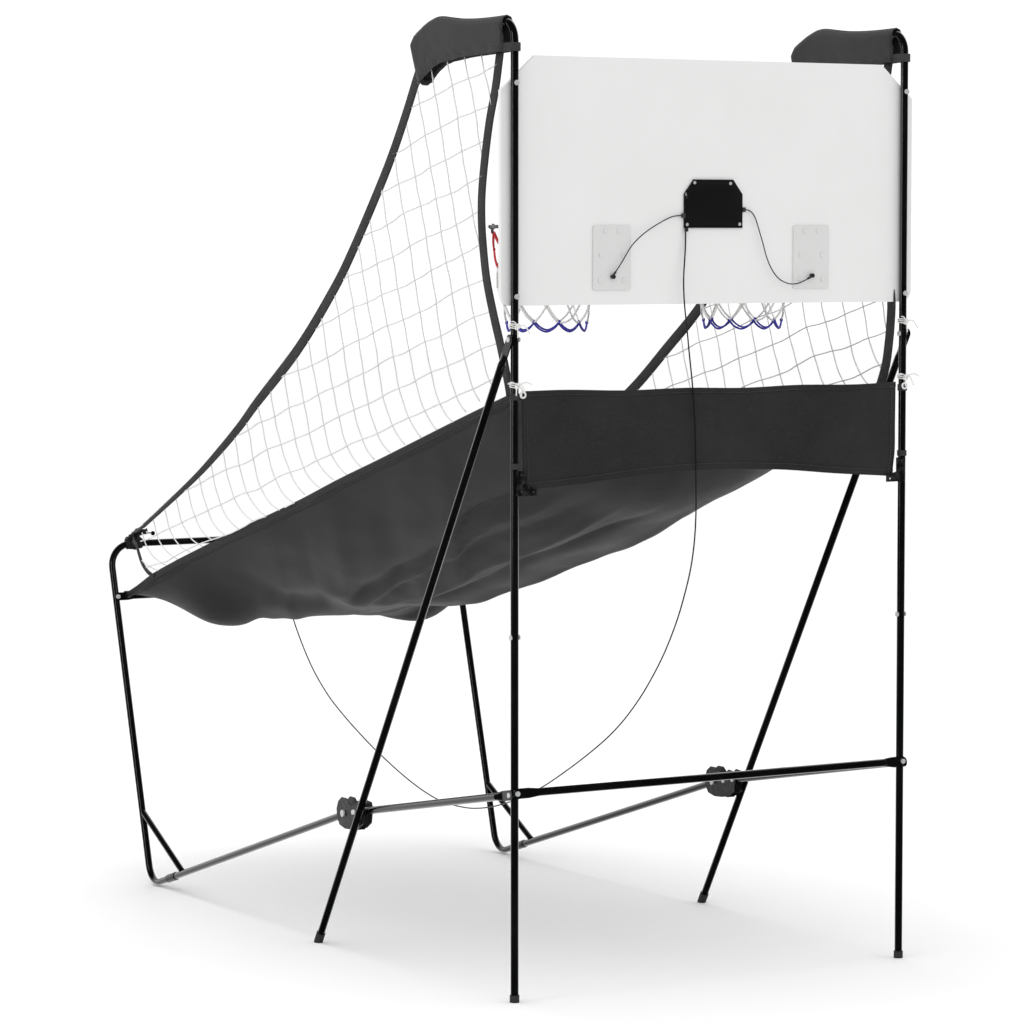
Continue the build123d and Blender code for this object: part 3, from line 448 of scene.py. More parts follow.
def graph(table, x):
    """Smooth curve through (x, y) pairs."""
    i = 0
    while i < len(table) - 2 and x > table[i + 1][0]:
        i += 1
    (x1, y1), (x2, y2) = table[i], table[i + 1]
    x0, y0 = table[i - 1] if i else (2 * x1 - x2, 2 * y1 - y2)
    x3, y3 = table[i + 2] if i + 2 < len(table) else (2 * x2 - x1, 2 * y2 - y1)
    span = x2 - x1
    t = min(max((x - x1) / span, 0.0), 1.0)
    m1 = (y2 - y0) / (x2 - x0) * span
    m2 = (y3 - y1) / (x3 - x1) * span
    return ((2 * t**3 - 3 * t**2 + 1) * y1 + (t**3 - 2 * t**2 + t) * m1
            + (3 * t**2 - 2 * t**3) * y2 + (t**3 - t**2) * m2)


def bell(x, middle, spread):
    return exp(-((x - middle) / spread) ** 2)


def ease(x, low, high):
    t = min(max((x - low) / (high - low), 0.0), 1.0)
    return t * t * (3 - 2 * t)


def thicken(obj):
    """Give a cloth surface its thickness, half to each side."""
    solid = obj.modifiers.new("thickness", "SOLIDIFY")
    solid.thickness = CLOTH_T
    solid.offset = 0.0


def across_fold(obj):
    """Cloth that hangs between the stand and the folding front frame: only its transform is baked into its
    mesh.
    """
    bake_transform(obj)


# ---------------------------------------------------------------- cords
# routes as (across, ahead, up) in millimetres
MAIN_CORD = [
    (72, 4.2, 1616), (72, 4.2, 1596), (77, -1, 1564), (85, -7, 1515), (83, -8, 1462), (76, -9, 1406),
    (69, -8, 1349), (62, -9, 1292), (57, -9, 1234), (55, -10, 1176), (53, -9, 1118), (51, -8, 1061),
    (48, -3, 1004), (44, 9, 947), (41, 27, 891), (39, 52, 838), (37, 80, 786), (36, 112, 736),
    (35, 147, 689), (34, 186, 645), (33, 227, 603), (32, 271, 564), (31, 317, 528), (30, 366, 495),
    (29, 417, 465), (28, 469, 437), (27, 521, 410), (26, 574, 384), (24, 627, 359), (23, 681, 335),
    (22, 736, 314), (20, 791, 295), (18, 847, 279), (17, 904, 264), (15, 961, 253), (14, 1019, 245),
    (13, 1077, 243), (12, 1135, 242), (11, 1193, 248), (10, 1250, 258), (9, 1306, 271), (8, 1362, 286),
    (7, 1417, 303), (6, 1472, 321), (6, 1526, 340), (5, 1579, 361), (5, 1632, 383), (4, 1684, 406),
    (4, 1735, 431), (3, 1783, 460), (3, 1828, 493), (2, 1870, 530), (2, 1908, 572), (1, 1943, 613),
    (0, 1966, 647), (0, 1966, 672),
]
SENSOR_WIRE_L = [
    (80.5, 5, 1650), (98, 5, 1650), (120, 1, 1644), (147, -2, 1632), (172, -3, 1619), (195, -3, 1603),
    (213, -2, 1586), (227, -3, 1567), (239, -2, 1548), (251, -1, 1532),
]
SENSOR_WIRE_R = [
    (-80.5, 5, 1663), (-94, 5, 1663), (-106, 2, 1647), (-113, -2, 1619), (-123, -3, 1590),
    (-132, -2, 1562), (-145, -3, 1535), (-163, -2, 1515), (-183, -3, 1505), (-205, -2, 1502),
    (-226, -3, 1507), (-241, -2, 1514),
]


def nurbs(name, route):
    """Open NURBS curve object with the route's points as its control points."""
    data = bpy.data.curves.new(name, "CURVE")
    data.dimensions = "3D"
    data.resolution_u = 8
    spline = data.splines.new("NURBS")
    spline.points.add(len(route) - 1)
    for point, (x, ahead, up) in zip(spline.points, route):
        point.co = (*at(x / 1000, ahead / 1000, up / 1000), 1)
    spline.order_u = 3
    spline.use_endpoint_u = True
    return add_object(name, data)


def sensor_wire(name, route, piece_name):
    obj = nurbs(name, route)
    obj.data.bevel_depth = 0.0012
    obj.data.bevel_resolution = 3
    obj.data.use_fill_caps = True
    obj.data.materials.append(MATERIALS["black_pvc"])
    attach(obj, "stand")
    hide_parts(name)
    obj.name = piece_name


def main_lead():
    """The lead crosses the fold, so it is a tube of mesh along the route's own curve."""
    guide = nurbs("main_lead_guide", MAIN_CORD)
    bpy.context.view_layer.update()
    flat = bpy.data.meshes.new_from_object(guide)
    path = [v.co.copy() for v in flat.vertices]
    bpy.data.objects.remove(guide)
    bpy.data.meshes.remove(flat)
    made = Mesh()
    made.tube(path, 0.0016, 10)
    obj = made.build("main_lead", "black_pvc")
    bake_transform(obj)
    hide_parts("main_cord")


main_lead()
sensor_wire("sensor_wire_L", SENSOR_WIRE_L, "wire_to_sensor_L")
sensor_wire("sensor_wire_R", SENSOR_WIRE_R, "wire_to_sensor_R")


# ---------------------------------------------------------------- ramp
# height of the ramp's side edges and of its middle, as (ahead, up)
EDGE_Z = [
    (0.026, 1.280), (0.273, 1.210), (0.600, 1.114), (0.810, 1.054), (1.000, 0.996), (1.435, 0.873),
    (1.767, 0.773), (1.880, 0.728), (1.945, 0.705),
]
MIDDLE_Z = [
    (0.026, 1.128), (0.130, 1.042), (0.236, 0.990), (0.420, 0.926), (0.600, 0.874), (0.780, 0.823),
    (0.954, 0.777), (1.100, 0.743), (1.241, 0.715), (1.450, 0.687), (1.623, 0.662), (1.750, 0.646),
    (1.840, 0.643), (1.905, 0.664), (1.945, 0.690),
]
RAMP_HALF = 0.478
RAMP_REAR, RAMP_FRONT = 0.026, 1.945


def ramp_point(u, c):
    """Point of the slung cloth: u from -1 to 1 across, c ahead."""
    x = u * RAMP_HALF
    edge = graph(EDGE_Z, c)
    low = graph(MIDDLE_Z, c)
    power = 2.0 + 0.8 * ease(c, 1.45, 1.9)
    z = low + (edge - low) * abs(u) ** power
    slack = (1 - u * u) ** 0.8
    z += lengthwise_folds(x, c) + flank_folds(x, c) * slack
    # the cloth bags out in front of each lower corner, just before the bar
    bag = bell(c, 1.745, 0.105) * (bell(x, 0.34, 0.125) + bell(x, -0.30, 0.14))
    z -= 0.066 * bag * slack ** 0.5
    z += 0.016 * bell(c, 1.50, 0.06) * (bell(x, 0.26, 0.12) + bell(x, -0.24, 0.12)) * slack
    z -= 0.010 * bell(c, 1.32, 0.07) * (bell(x, 0.22, 0.12) + bell(x, -0.20, 0.12)) * slack
    z += 0.012 * lump(x * 5.0, c * 4.0, 0.3) * slack * ease(c, 0.05, 0.3) * (1 - ease(c, 1.85, 1.94))
    z += 0.0034 * lump(x * 15.0, c * 9.0, 7.3) * slack
    return at(x, c, z)


LENGTHWISE = [
    # line of the crease as (ahead, across), then width and depth
    ([(0.30, 0.285), (0.57, 0.272), (0.80, 0.226), (1.05, 0.207), (1.33, 0.183), (1.55, 0.10)], 0.020, 0.026),
    ([(0.30, 0.235), (0.57, 0.238), (0.85, 0.200), (1.20, 0.160), (1.55, 0.08)], 0.017, -0.014),
    ([(0.30, 0.180), (0.59, 0.198), (0.92, 0.172), (1.27, 0.121), (1.55, 0.06)], 0.016, 0.018),
    ([(0.25, 0.110), (0.60, 0.135), (0.95, 0.112), (1.30, 0.085)], 0.022, -0.016),
    ([(0.25, 0.020), (0.57, 0.066), (0.95, 0.054), (1.25, 0.056), (1.50, 0.03)], 0.020, 0.022),
    ([(0.25, -0.10), (0.60, -0.080), (1.00, -0.060), (1.40, -0.04)], 0.024, -0.016),
    ([(0.25, -0.16), (0.60, -0.150), (1.00, -0.120), (1.40, -0.09)], 0.018, 0.015),
    ([(0.25, -0.23), (0.60, -0.215), (1.00, -0.170), (1.40, -0.11)], 0.022, 0.020),
    ([(0.25, -0.33), (0.60, -0.300), (1.00, -0.260), (1.40, -0.19)], 0.020, -0.013),
]


def lengthwise_folds(x, c):
    """Creases that run down the trough and die out before the belly."""
    total = 0.0
    fade = ease(c, 0.12, 0.40) * (1 - ease(c, 1.05, 1.50))
    if fade:
        for number, (line, width, deep) in enumerate(LENGTHWISE):
            wave = 1 + 0.35 * lump(c * 3.1, number * 2.7, 4.0)
            away = (x - graph(line, c) - 0.010 * lump(c * 4.0, number * 1.3, 0.5)) / width
            total += deep * wave * exp(-sqrt(away * away + 0.04)) * fade
    return total


def flank_folds(x, c):
    """Soft folds that leave the side edges and lean forward towards the middle."""
    lane = c - 1.45 * (RAMP_HALF - abs(x)) + (0.03 if x < 0 else 0.0)
    total = 0.0
    for middle, width, deep in ((0.36, 0.050, -0.012), (0.62, 0.060, 0.013), (0.86, 0.050, -0.013),
                                (1.02, 0.042, 0.016), (1.17, 0.045, -0.014), (1.34, 0.045, 0.010)):
        total += deep * bell(lane, middle, width)
    return total * ease(abs(x), 0.03, 0.22) * (1 - ease(c, 1.80, 1.93)) * ease(c, 0.1, 0.3)


def ramp_cloth():
    """Trough of woven cloth whose front edge turns round the lower bar."""
    made = Mesh()
    rows, columns = 190, 96
    rings = []
    for i in range(rows + 1):
        c = RAMP_REAR + (RAMP_FRONT - RAMP_REAR) * i / rows
        rings.append([ramp_point(2 * j / columns - 1, c) for j in range(columns + 1)])
    for ahead, up in ((1.958, 0.7035), (1.9565, 0.7095), (1.951, 0.7135), (1.943, 0.7140), (1.937, 0.7105),
                      (1.934, 0.7050)):
        ring = []
        for j in range(columns + 1):
            x = (2 * j / columns - 1) * RAMP_HALF
            pucker = 0.0012 * lump(x * 40, ahead * 30, 2.0)
            ring.append(at(x, ahead + pucker, up + pucker))
        rings.append(ring)
    made.surface(rings)
    obj = made.build("ramp_cloth", "dark_fabric")
    thicken(obj)
    across_fold(obj)
    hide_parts("ramp_fabric")
    return obj


def ramp_hems():
    """Rolled side hems with their stitch rows, and a rear hem."""
    made = Mesh()
    stations = [0.030 + 1.90 * i / 120 for i in range(121)]
    for _, side in SIDES:
        line = [ramp_point(side, c) + Vector((0, 0, -0.004)) for c in stations]
        made.ribbon(line, 0.016, 0.0026, Vector((1, 0, 0)))
        inner = [ramp_point(side * 0.962, c) for c in stations]
        made.stitches(inner, Vector((side * 0.0010, 0, -0.0010)), material=1)
        made.stitches(line, Vector((side * 0.0016, 0, -0.006)), material=1)
    rear = [ramp_point(2 * j / 60 - 1, 0.030) for j in range(61)]
    made.ribbon(rear, 0.018, 0.0026, Vector((0, 0.35, 1)))
    obj = made.build("ramp_hems", ["dark_fabric", "thread"])
    across_fold(obj)
    return obj


ramp = ramp_cloth()
hems = ramp_hems()


# ---------------------------------------------------------------- rear panel
PANEL_LOW = [
    (-0.482, 1.077), (-0.325, 1.088), (-0.17, 1.102), (0.0, 1.108), (0.17, 1.102), (0.325, 1.088),
    (0.482, 1.077),
]


def panel_top(x):
    return 1.285 - 0.004 * (1 - (x / 0.48) ** 2) + 0.0015 * sin(x * 21.0)


def panel_point(u, v, lift=0.0):
    """Point of the rear panel: u across, v up; small pulls start at its corner straps."""
    x = u * 0.480
    low = graph(PANEL_LOW, x)
    z = low + (panel_top(x) - low) * v
    out = 0.0022 * lump(x * 4.2, z * 7.0, 1.7)
    out += 0.0012 * sin(x * 34.0 + z * 40.0) * bell(v, 0.0, 0.35) * bell(abs(u), 1.0, 0.3)
    out += 0.0018 * sin(x * 12.0) * (1 - v) * ease(1 - abs(u), 0.0, 0.2)
    pull = 0.006 * bell(u, -1.0, 0.05) * bell(v, 0.06, 0.16)
    return at(x + pull, out - lift, z)


def rear_cloth():
    made = Mesh()
    rows, columns = 36, 150
    shares = [2 * j / columns - 1 for j in range(columns + 1)]
    rings = [[panel_point(u, i / rows) for u in shares] for i in range(rows + 1)]
    made.surface(rings)
    obj = made.build("rear_panel_cloth", "dark_fabric")
    thicken(obj)
    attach(obj, "stand")
    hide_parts("rear_panel")
    return obj


def rear_hems():
    """Turned hems on all four sides of the rear panel, with stitch rows."""
    made = Mesh()
    steps = 110
    for v, wide in ((0.972, 0.012), (0.040, 0.016)):
        line = [panel_point(2 * j / steps - 1, v, 0.0007) for j in range(steps + 1)]
        made.ribbon(line, wide, 0.0018, Vector((0, 1, 0)))
        edge = [p + Vector((0, 0.0012, -wide * 0.32 if v > 0.5 else wide * 0.32)) for p in line]
        made.stitches(edge, Vector((0, 0.0002, 0)), material=1)
    for u in (-0.985, 0.985):
        line = [panel_point(u, i / 24, 0.0007) for i in range(25)]
        made.ribbon(line, 0.014, 0.0018, Vector((0, 1, 0)))
        way = -1 if u > 0 else 1
        edge = [p + Vector((way * 0.005, 0.0012, 0)) for p in line]
        made.stitches(edge, Vector((0, 0.0002, 0)), material=1)
    obj = made.build("rear_panel_hems", ["dark_fabric", "thread"])
    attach(obj, "stand")
    return obj


panel = rear_cloth()
panel_hems = rear_hems()


# ---------------------------------------------------------------- side nets
# middle lines of the webbing borders, as (ahead, up)
FRONT_BORDER = {
    "L": [
        (0.420, 1.975), (0.447, 1.935), (0.488, 1.873), (0.546, 1.792), (0.612, 1.711), (0.740, 1.568),
        (0.834, 1.478), (0.998, 1.348), (1.208, 1.216), (1.295, 1.158), (1.404, 1.094), (1.538, 1.022),
        (1.740, 0.927), (1.830, 0.886),
    ],
    "R": [
        (0.420, 1.975), (0.447, 1.935), (0.486, 1.870), (0.535, 1.785), (0.590, 1.697), (0.680, 1.560),
        (0.778, 1.443), (0.928, 1.335), (1.078, 1.234), (1.260, 1.137), (1.430, 1.056), (1.600, 0.980),
        (1.745, 0.922), (1.830, 0.886),
    ],
}
REAR_BORDER = {
    "L": [
        (0.0875, 1.990), (0.1065, 1.915), (0.132, 1.845), (0.152, 1.764), (0.163, 1.700), (0.165, 1.650),
        (0.160, 1.596), (0.144, 1.516), (0.115, 1.441), (0.086, 1.377), (0.055, 1.300), (0.048, 1.276),
    ],
    "R": [
        (0.0875, 1.990), (0.093, 1.915), (0.094, 1.830), (0.086, 1.740), (0.070, 1.650), (0.046, 1.560),
        (0.028, 1.505), (0.019, 1.463), (0.021, 1.419), (0.027, 1.374), (0.037, 1.325), (0.054, 1.284),
        (0.066, 1.262),
    ],
}
LOW_BORDER = [(1.856, 0.835), (1.853, 0.812), (1.838, 0.793), (1.809, 0.775), (1.778, 0.764)]
HOOD_LINE = [(0.088, 1.996), (0.200, 1.996), (0.270, 1.992), (0.320, 1.985), (0.405, 1.978)]


def net_outline(name):
    """Closed outline that the strings stay inside, as (ahead, up)."""
    edge = [(c, z + 0.001) for c, z in EDGE_Z if 0.05 < c < 1.78]
    back = list(reversed(REAR_BORDER[name]))[1:]
    return HOOD_LINE + FRONT_BORDER[name][1:] + LOW_BORDER + list(reversed(edge)) + back


def inside(point, outline):
    x, y = point
    hit = False
    for (x1, y1), (x2, y2) in zip(outline, outline[1:] + outline[:1]):
        if (y1 > y) != (y2 > y) and x < (x2 - x1) * (y - y1) / (y2 - y1) + x1:
            hit = not hit
    return hit


NET_SLOPE = -0.265               # rise of the lowest rows, ahead
NET_FOOT = 1.336                 # height of row zero level with the posts
ROW_PITCH = 0.0745
COLUMN_PITCH = 0.0705
COLUMNS, ROWS = range(-2, 30), range(-1, 11)
SIGHT_SLIDE = 1.675              # move back that keeps a leaning point on its line of sight


def net_point(i, j, side):
    """Place of column i and row j of the slack net; whole numbers are its knots."""
    rise = j * ROW_PITCH
    c = 0.15 + i * COLUMN_PITCH + 0.31 * (rise - 0.45)
    c -= 0.070 * exp(-(rise + 0.060) / 0.050)
    c += 0.009 * lump(i * 0.37, j * 0.55, side * 5.0)
    z = NET_FOOT + NET_SLOPE * c + rise + 0.04 * (rise / 0.67) * (c - 0.45) * ease(rise, 0.1, 0.5)
    z += 0.008 * lump(i * 0.61, j * 0.43, 9.0 + side * 3.0)
    z -= 0.0012 * sin(pi * (i % 1.0)) * ease(rise, -0.02, 0.2)
    return c, z


def net_place(side, c, z):
    """Place of a net point in the scene; the top leans out to the arm, under its hood."""
    lean = (POST_X - NET_X) * ease(z, 1.80, 1.97)
    return at(side * (NET_X + lean), c - SIGHT_SLIDE * lean, z)


def clipped(points, outline):
    """Runs of points inside the outline."""
    runs, run = [], []
    for point in points:
        if inside(point, outline):
            run.append(point)
        elif run:
            runs.append(run)
            run = []
    if run:
        runs.append(run)
    return [r for r in runs if len(r) > 1]


def net_strings(name, side):
    """Knotted square mesh, tied into the borders."""
    outline = net_outline(name)
    made = Mesh()
    share = 0.14
    lines = [[net_point(i, k * share, side) for k in range(-9, 84)] for i in COLUMNS]
    lines += [[net_point(k * share, j, side) for k in range(-16, 210)] for j in ROWS]
    for number, line in enumerate(lines):
        for run in clipped(line, outline):
            points = [
                net_place(side, c, z) + Vector((0.0006 * side * sin(k * 0.9 + number), 0, 0))
                for k, (c, z) in enumerate(run)
            ]
            made.tube(points, 0.0016, 5)
    for i in COLUMNS:
        for j in ROWS:
            spot = net_point(i, j, side)
            if inside(spot, outline):
                made.knot(net_place(side, *spot), 0.0024, i * 31 + j)
    obj = made.build(f"side_net_strings_{name}", "net_string")
    across_fold(obj)
    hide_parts(f"side_net_{name}")


def net_borders(name, side):
    """Webbing along the net's free edges and the loops that tie it to the ramp's hem."""
    made = Mesh()
    face = Vector((side, 0, 0))
    front = smooth_line([net_place(side, c, z) for c, z in FRONT_BORDER[name]], 0.02)
    count = len(front)
    widths = [0.029 - 0.017 * ease(i / count, 0.45, 1.0) for i in range(count)]
    ways = [face + Vector((0, 0, 0.5 * ease(i / count, 0.75, 1.0))) for i in range(count)]
    made.ribbon(front, widths, 0.0042, ways)
    tail = smooth_line([at(side * x, c, z) for x, c, z in (
        (NET_X, 1.830, 0.886), (0.476, 1.872, 0.874), (0.462, 1.920, 0.868), (0.444, 1.962, 0.862),
        (0.436, 1.986, 0.848),
    )], 0.008)
    made.ribbon(tail, [0.010 + 0.006 * i / len(tail) for i in range(len(tail))], 0.0035,
                [face + Vector((0, 0, 0.5 + 0.4 * i / len(tail))) for i in range(len(tail))])
    low = smooth_line([at(side * x, c, z) for x, c, z in (
        (0.440, 1.975, 0.846), (0.462, 1.930, 0.842), (0.477, 1.880, 0.834), (NET_X, 1.856, 0.815),
        (NET_X, 1.838, 0.793), (NET_X, 1.809, 0.775), (0.480, 1.776, 0.764),
    )], 0.008)
    made.ribbon(low, 0.011, 0.0030, face)
    rear = smooth_line([net_place(side, c, z) for c, z in REAR_BORDER[name]], 0.015)
    made.ribbon(rear, 0.029, 0.0042, face)
    for line, offset in ((front, 0.0115), (front, -0.0115), (rear, 0.0115), (rear, -0.0115)):
        shifted = []
        for i, point in enumerate(line):
            run = (line[min(i + 1, len(line) - 1)] - line[max(i - 1, 0)]).normalized()
            taper = 1 - 0.58 * ease(i / len(line), 0.45, 1.0) if line is front else 1
            shifted.append(point + run.cross(face).normalized() * offset * taper)
        for lift in (face * 0.0022, face * -0.0022):
            made.stitches(shifted, lift, pitch=0.008, reach=0.005, radius=0.0004, material=1)
    obj = made.build(f"side_net_webbing_{name}", ["webbing", "thread"])
    across_fold(obj)


for side_name, side_sign in SIDES:
    net_strings(side_name, side_sign)
    net_borders(side_name, side_sign)


# ---------------------------------------------------------------- hoods over the forward arms
# sections from the post forward: the ridge and the lower edge, each (ahead, up)
HOOD_STATIONS = [
    ((0.030, 2.063), (0.026, 1.990)), ((0.055, 2.062), (0.052, 1.989)), ((0.095, 2.061), (0.085, 1.988)),
    ((0.140, 2.061), (0.118, 1.987)), ((0.187, 2.062), (0.150, 1.986)), ((0.230, 2.065), (0.182, 1.985)),
    ((0.270, 2.070), (0.212, 1.983)), ((0.300, 2.073), (0.244, 1.980)), ((0.322, 2.072), (0.272, 1.978)),
    ((0.342, 2.068), (0.296, 1.974)), ((0.362, 2.061), (0.316, 1.968)), ((0.380, 2.053), (0.334, 1.960)),
    ((0.395, 2.046), (0.350, 1.952)), ((0.408, 2.039), (0.364, 1.944)), ((0.415, 2.030), (0.375, 1.937)),
    ((0.418, 2.016), (0.385, 1.931)), ((0.415, 1.996), (0.394, 1.932)), ((0.411, 1.974), (0.400, 1.938)),
]


RIDGE = 0.16                     # share of the section that bends over the arm


def hood_ring(place, side):
    """Half-open section of the hood: up one face, over the top and down the other."""
    index = place * (len(HOOD_STATIONS) - 1)
    i = min(int(index), len(HOOD_STATIONS) - 2)
    t = index - i
    (a, b), (c, d) = HOOD_STATIONS[i], HOOD_STATIONS[i + 1]
    top = Vector(a).lerp(Vector(c), t)
    low = Vector(b).lerp(Vector(d), t)
    half = (0.0128 + 0.0016 * sin(place * 9.0)) * (1 - 0.82 * ease(place, 0.80, 1.0))
    ring = []
    count = 26
    for k in range(count + 1):
        v = k / count * 2 - 1
        drop = min(1.0, max(0.0, (abs(v) - RIDGE) / (1 - RIDGE)))
        if abs(v) < RIDGE:
            across = sin(v / RIDGE * pi / 2) * half
            height = -half * (1 - cos(v / RIDGE * pi / 2))
        else:
            across = copysign(half, v)
            height = -half
        flat = top.lerp(low, drop)
        puff = 0.0028 * lump(place * 7.0, v * 2.0, side * 3.0) * ease(drop, 0.0, 0.3)
        puff *= 1 - ease(place, 0.85, 1.0)
        puff += 0.0014 * sin(place * 42 + drop * 5) * bell(drop, 0.9, 0.3) * (1 - ease(place, 0.8, 1.0))
        across += copysign(puff, v) if abs(v) >= RIDGE else 0
        ring.append(at(side * (POST_X + across), flat.x, flat.y + height * (1 - drop)))
    return ring


def hoods():
    """Cloth over each arm with its hems, ridge seam and the strap round the post."""
    for name, side in SIDES:
        made = Mesh()
        rings = [hood_ring(i / 90, side) for i in range(91)]
        made.surface(rings)
        obj = made.build(f"arm_hood_cloth_{name}", "hood_fabric")
        thicken(obj)
        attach(obj, "stand")
        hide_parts(f"arm_hood_{name}")

        trim = Mesh()
        for end in (0, -1):
            line = [ring[end] + Vector((0, 0, 0.005)) for ring in rings]
            trim.ribbon(line, 0.013, 0.0024, Vector((1, 0, 0)))
            lift = Vector((line[0].x - side * POST_X, 0, 0)).normalized() * 0.0014
            trim.stitches([p + Vector((0, 0, 0.004)) for p in line], lift, material=1)
        loop = []
        for k in range(25):
            angle = radians(-90 + 180 * k / 24)
            loop.append(at(side * POST_X + 0.0118 * sin(angle), -0.0118 * cos(angle), 1.997))
        ends = [at(side * POST_X + way * 0.0125, 0.034, 1.9965) for way in (-1, 1)]
        strap = smooth_line([ends[0], *loop[::3], ends[1]], 0.004)
        trim.ribbon(strap, 0.018, 0.0022, [(p - at(side * POST_X, 0.004, p.z)).normalized() for p in strap])
        mouth = [p + Vector((0, -0.004, 0)) for p in rings[0]]
        trim.ribbon(mouth, 0.010, 0.0022, Vector((0, 0, 1)))
        trim.tube(rings[-1][2:13], 0.0018, 6)
        seam = smooth_line([r[len(r) // 2] + Vector((0, 0, 0.0006)) for r in rings[::6]], 0.01)
        trim.tube(seam, 0.0009, 5)
        piece = trim.build(f"arm_hood_hems_{name}", ["hood_fabric", "thread"])
        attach(piece, "stand")


hoods()


# ---------------------------------------------------------------- hoop nets
HOOP = (0.256, 0.271, 1.627)     # across, ahead, up
HOOP_R = 0.124


def around(side, turn, radius, up):
    """Point round a hoop; turn in tenths of a circle."""
    angle = turn * tau / 10 + radians(4.0 if side > 0 else 0.0)
    return at(side * HOOP[0] + radius * sin(angle), HOOP[1] + radius * cos(angle), up)


# height and radius of each row of knots, from the ring down
NET_LEVELS = [
    (1.6155, 0.1205), (1.578, 0.114), (1.538, 0.1110), (1.496, 0.1065), (1.456, 0.096), (1.420, 0.0870),
]


def net_knot(side, turn, level):
    """Place of a knot; one behind hangs lower and leaves room for the sensor arm."""
    up, radius = NET_LEVELS[level]
    if level == 4 and turn % 10 == 5:
        up -= 0.024
    return around(side, turn, radius, up)


def hoop_nets():
    """Diamond nets, red then white with blue loops at the foot, and the hooks they hang from."""
    foot = len(NET_LEVELS) - 1
    foot_up, foot_radius = NET_LEVELS[foot]
    white, red, blue = 0, 1, 2
    for name, side in SIDES:
        made = Mesh()
        for row in range(foot):
            colour = red if row < 2 else white
            for k in range(10):
                start = k + 0.5 * (row % 2)
                for way in (-0.5, 0.5):
                    a = net_knot(side, start, row)
                    b = net_knot(side, start + way, row + 1)
                    bow = (a + b) / 2 + Vector((0, 0, -0.0035))
                    centre = at(side * HOOP[0], HOOP[1], bow.z)
                    bow = bow + (bow - centre).normalized() * 0.0015
                    made.tube(smooth_line([a, bow, b], 0.011), 0.0023, 6, colour)
            for k in range(10):
                made.knot(net_knot(side, k + 0.5 * ((row + 1) % 2), row + 1), 0.0036, k + row * 10,
                          red if row < 1 else white)
        for k in range(10):
            start = k + 0.5 * (foot % 2)
            dips = [around(side, start, foot_radius, foot_up)]
            for share, drop in ((0.2, 0.0115), (0.5, 0.0185), (0.8, 0.0115)):
                dips.append(around(side, start + share, foot_radius - 0.001, foot_up - drop))
            dips.append(around(side, start + 1, foot_radius, foot_up))
            made.tube(smooth_line(dips, 0.006), 0.0023, 6, blue)
            made.knot(dips[0], 0.0042, k, blue)
        obj = made.build(f"hoop_net_mesh_{name}", ["net_white", "net_red", "net_blue"])
        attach(obj, "stand")
        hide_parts(f"hoop_net_{name}")

        hooks = Mesh()
        for k in range(10):
            wire = around(side, k, HOOP_R, HOOP[2])
            out = (around(side, k, HOOP_R + 0.01, HOOP[2]) - wire).normalized()
            up = Vector((0, 0, 1))
            line = []
            for turn in range(-30, 271, 20):
                angle = radians(turn)
                line.append(wire + (out * cos(angle) + up * -sin(angle)) * 0.0056)
            hooks.tube(line, 0.0012, 6)
            eye = wire + up * -0.0105
            side_way = out.cross(up)
            loop = [eye + (side_way * cos(radians(t)) + up * sin(radians(t))) * 0.0042
                    for t in range(0, 360, 30)]
            hooks.tube(loop, 0.0011, 6, loop=True)
        piece = hooks.build(f"hoop_hooks_{name}", "rim_steel")
        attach(piece, "stand")


hoop_nets()


# ---------------------------------------------------------------- ties and wraps
def white_ties():
    """Knotted cords that hold the nets and the panel to the posts."""
    made = Mesh()
    for _, side in SIDES:
        for z, tails in ((1.420, ((0.022, 0.012, 0.010), (-0.020, 0.016, -0.016), (0.012, 0.020, -0.024))),
                         (1.297, ((0.030, 0.010, 0.004), (-0.026, 0.014, 0.002), (0.016, 0.020, -0.020),
                                  (-0.008, 0.018, -0.018)))):
            for turn in range(3):
                line = []
                for k in range(24):
                    angle = k * tau / 24
                    rise = 0.0028 * (turn - 1) + 0.0016 * sin(angle + turn)
                    x = side * POST_X + 0.0105 * cos(angle)
                    line.append(at(x, 0.0105 * sin(angle), z + rise))
                made.tube(line, 0.0014, 6, loop=True)
            centre = at(side * POST_X, -0.0135, z)
            made.knot(centre, 0.0062, z * 10 + side)
            made.knot(centre + Vector((0.004, 0.001, -0.004)), 0.0046, z * 20 + side)
            for dx, dy, dz in tails:
                middle = centre + Vector((dx * 0.55, dy * 0.5, dz * 0.3 + 0.006))
                made.tube(smooth_line([centre, middle, centre + Vector((dx, dy, dz))], 0.004), 0.0013, 6)
    for middle in (0.486, -0.496):
        ring = [at(middle + 0.0060 * x, -0.0125, 1.277 + 0.0060 * y) for x, y in circle(20)]
        made.tube(ring, 0.0021, 8, loop=True)
        link = smooth_line([at(middle, -0.0125, 1.283), at(middle * 1.008, -0.0135, 1.290),
                            at(copysign(0.497, middle), -0.0135, 1.297)], 0.004)
        made.tube(link, 0.0014, 6)
    obj = made.build("white_ties", "white_cord")
    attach(obj, "stand")
    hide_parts("net_ties")


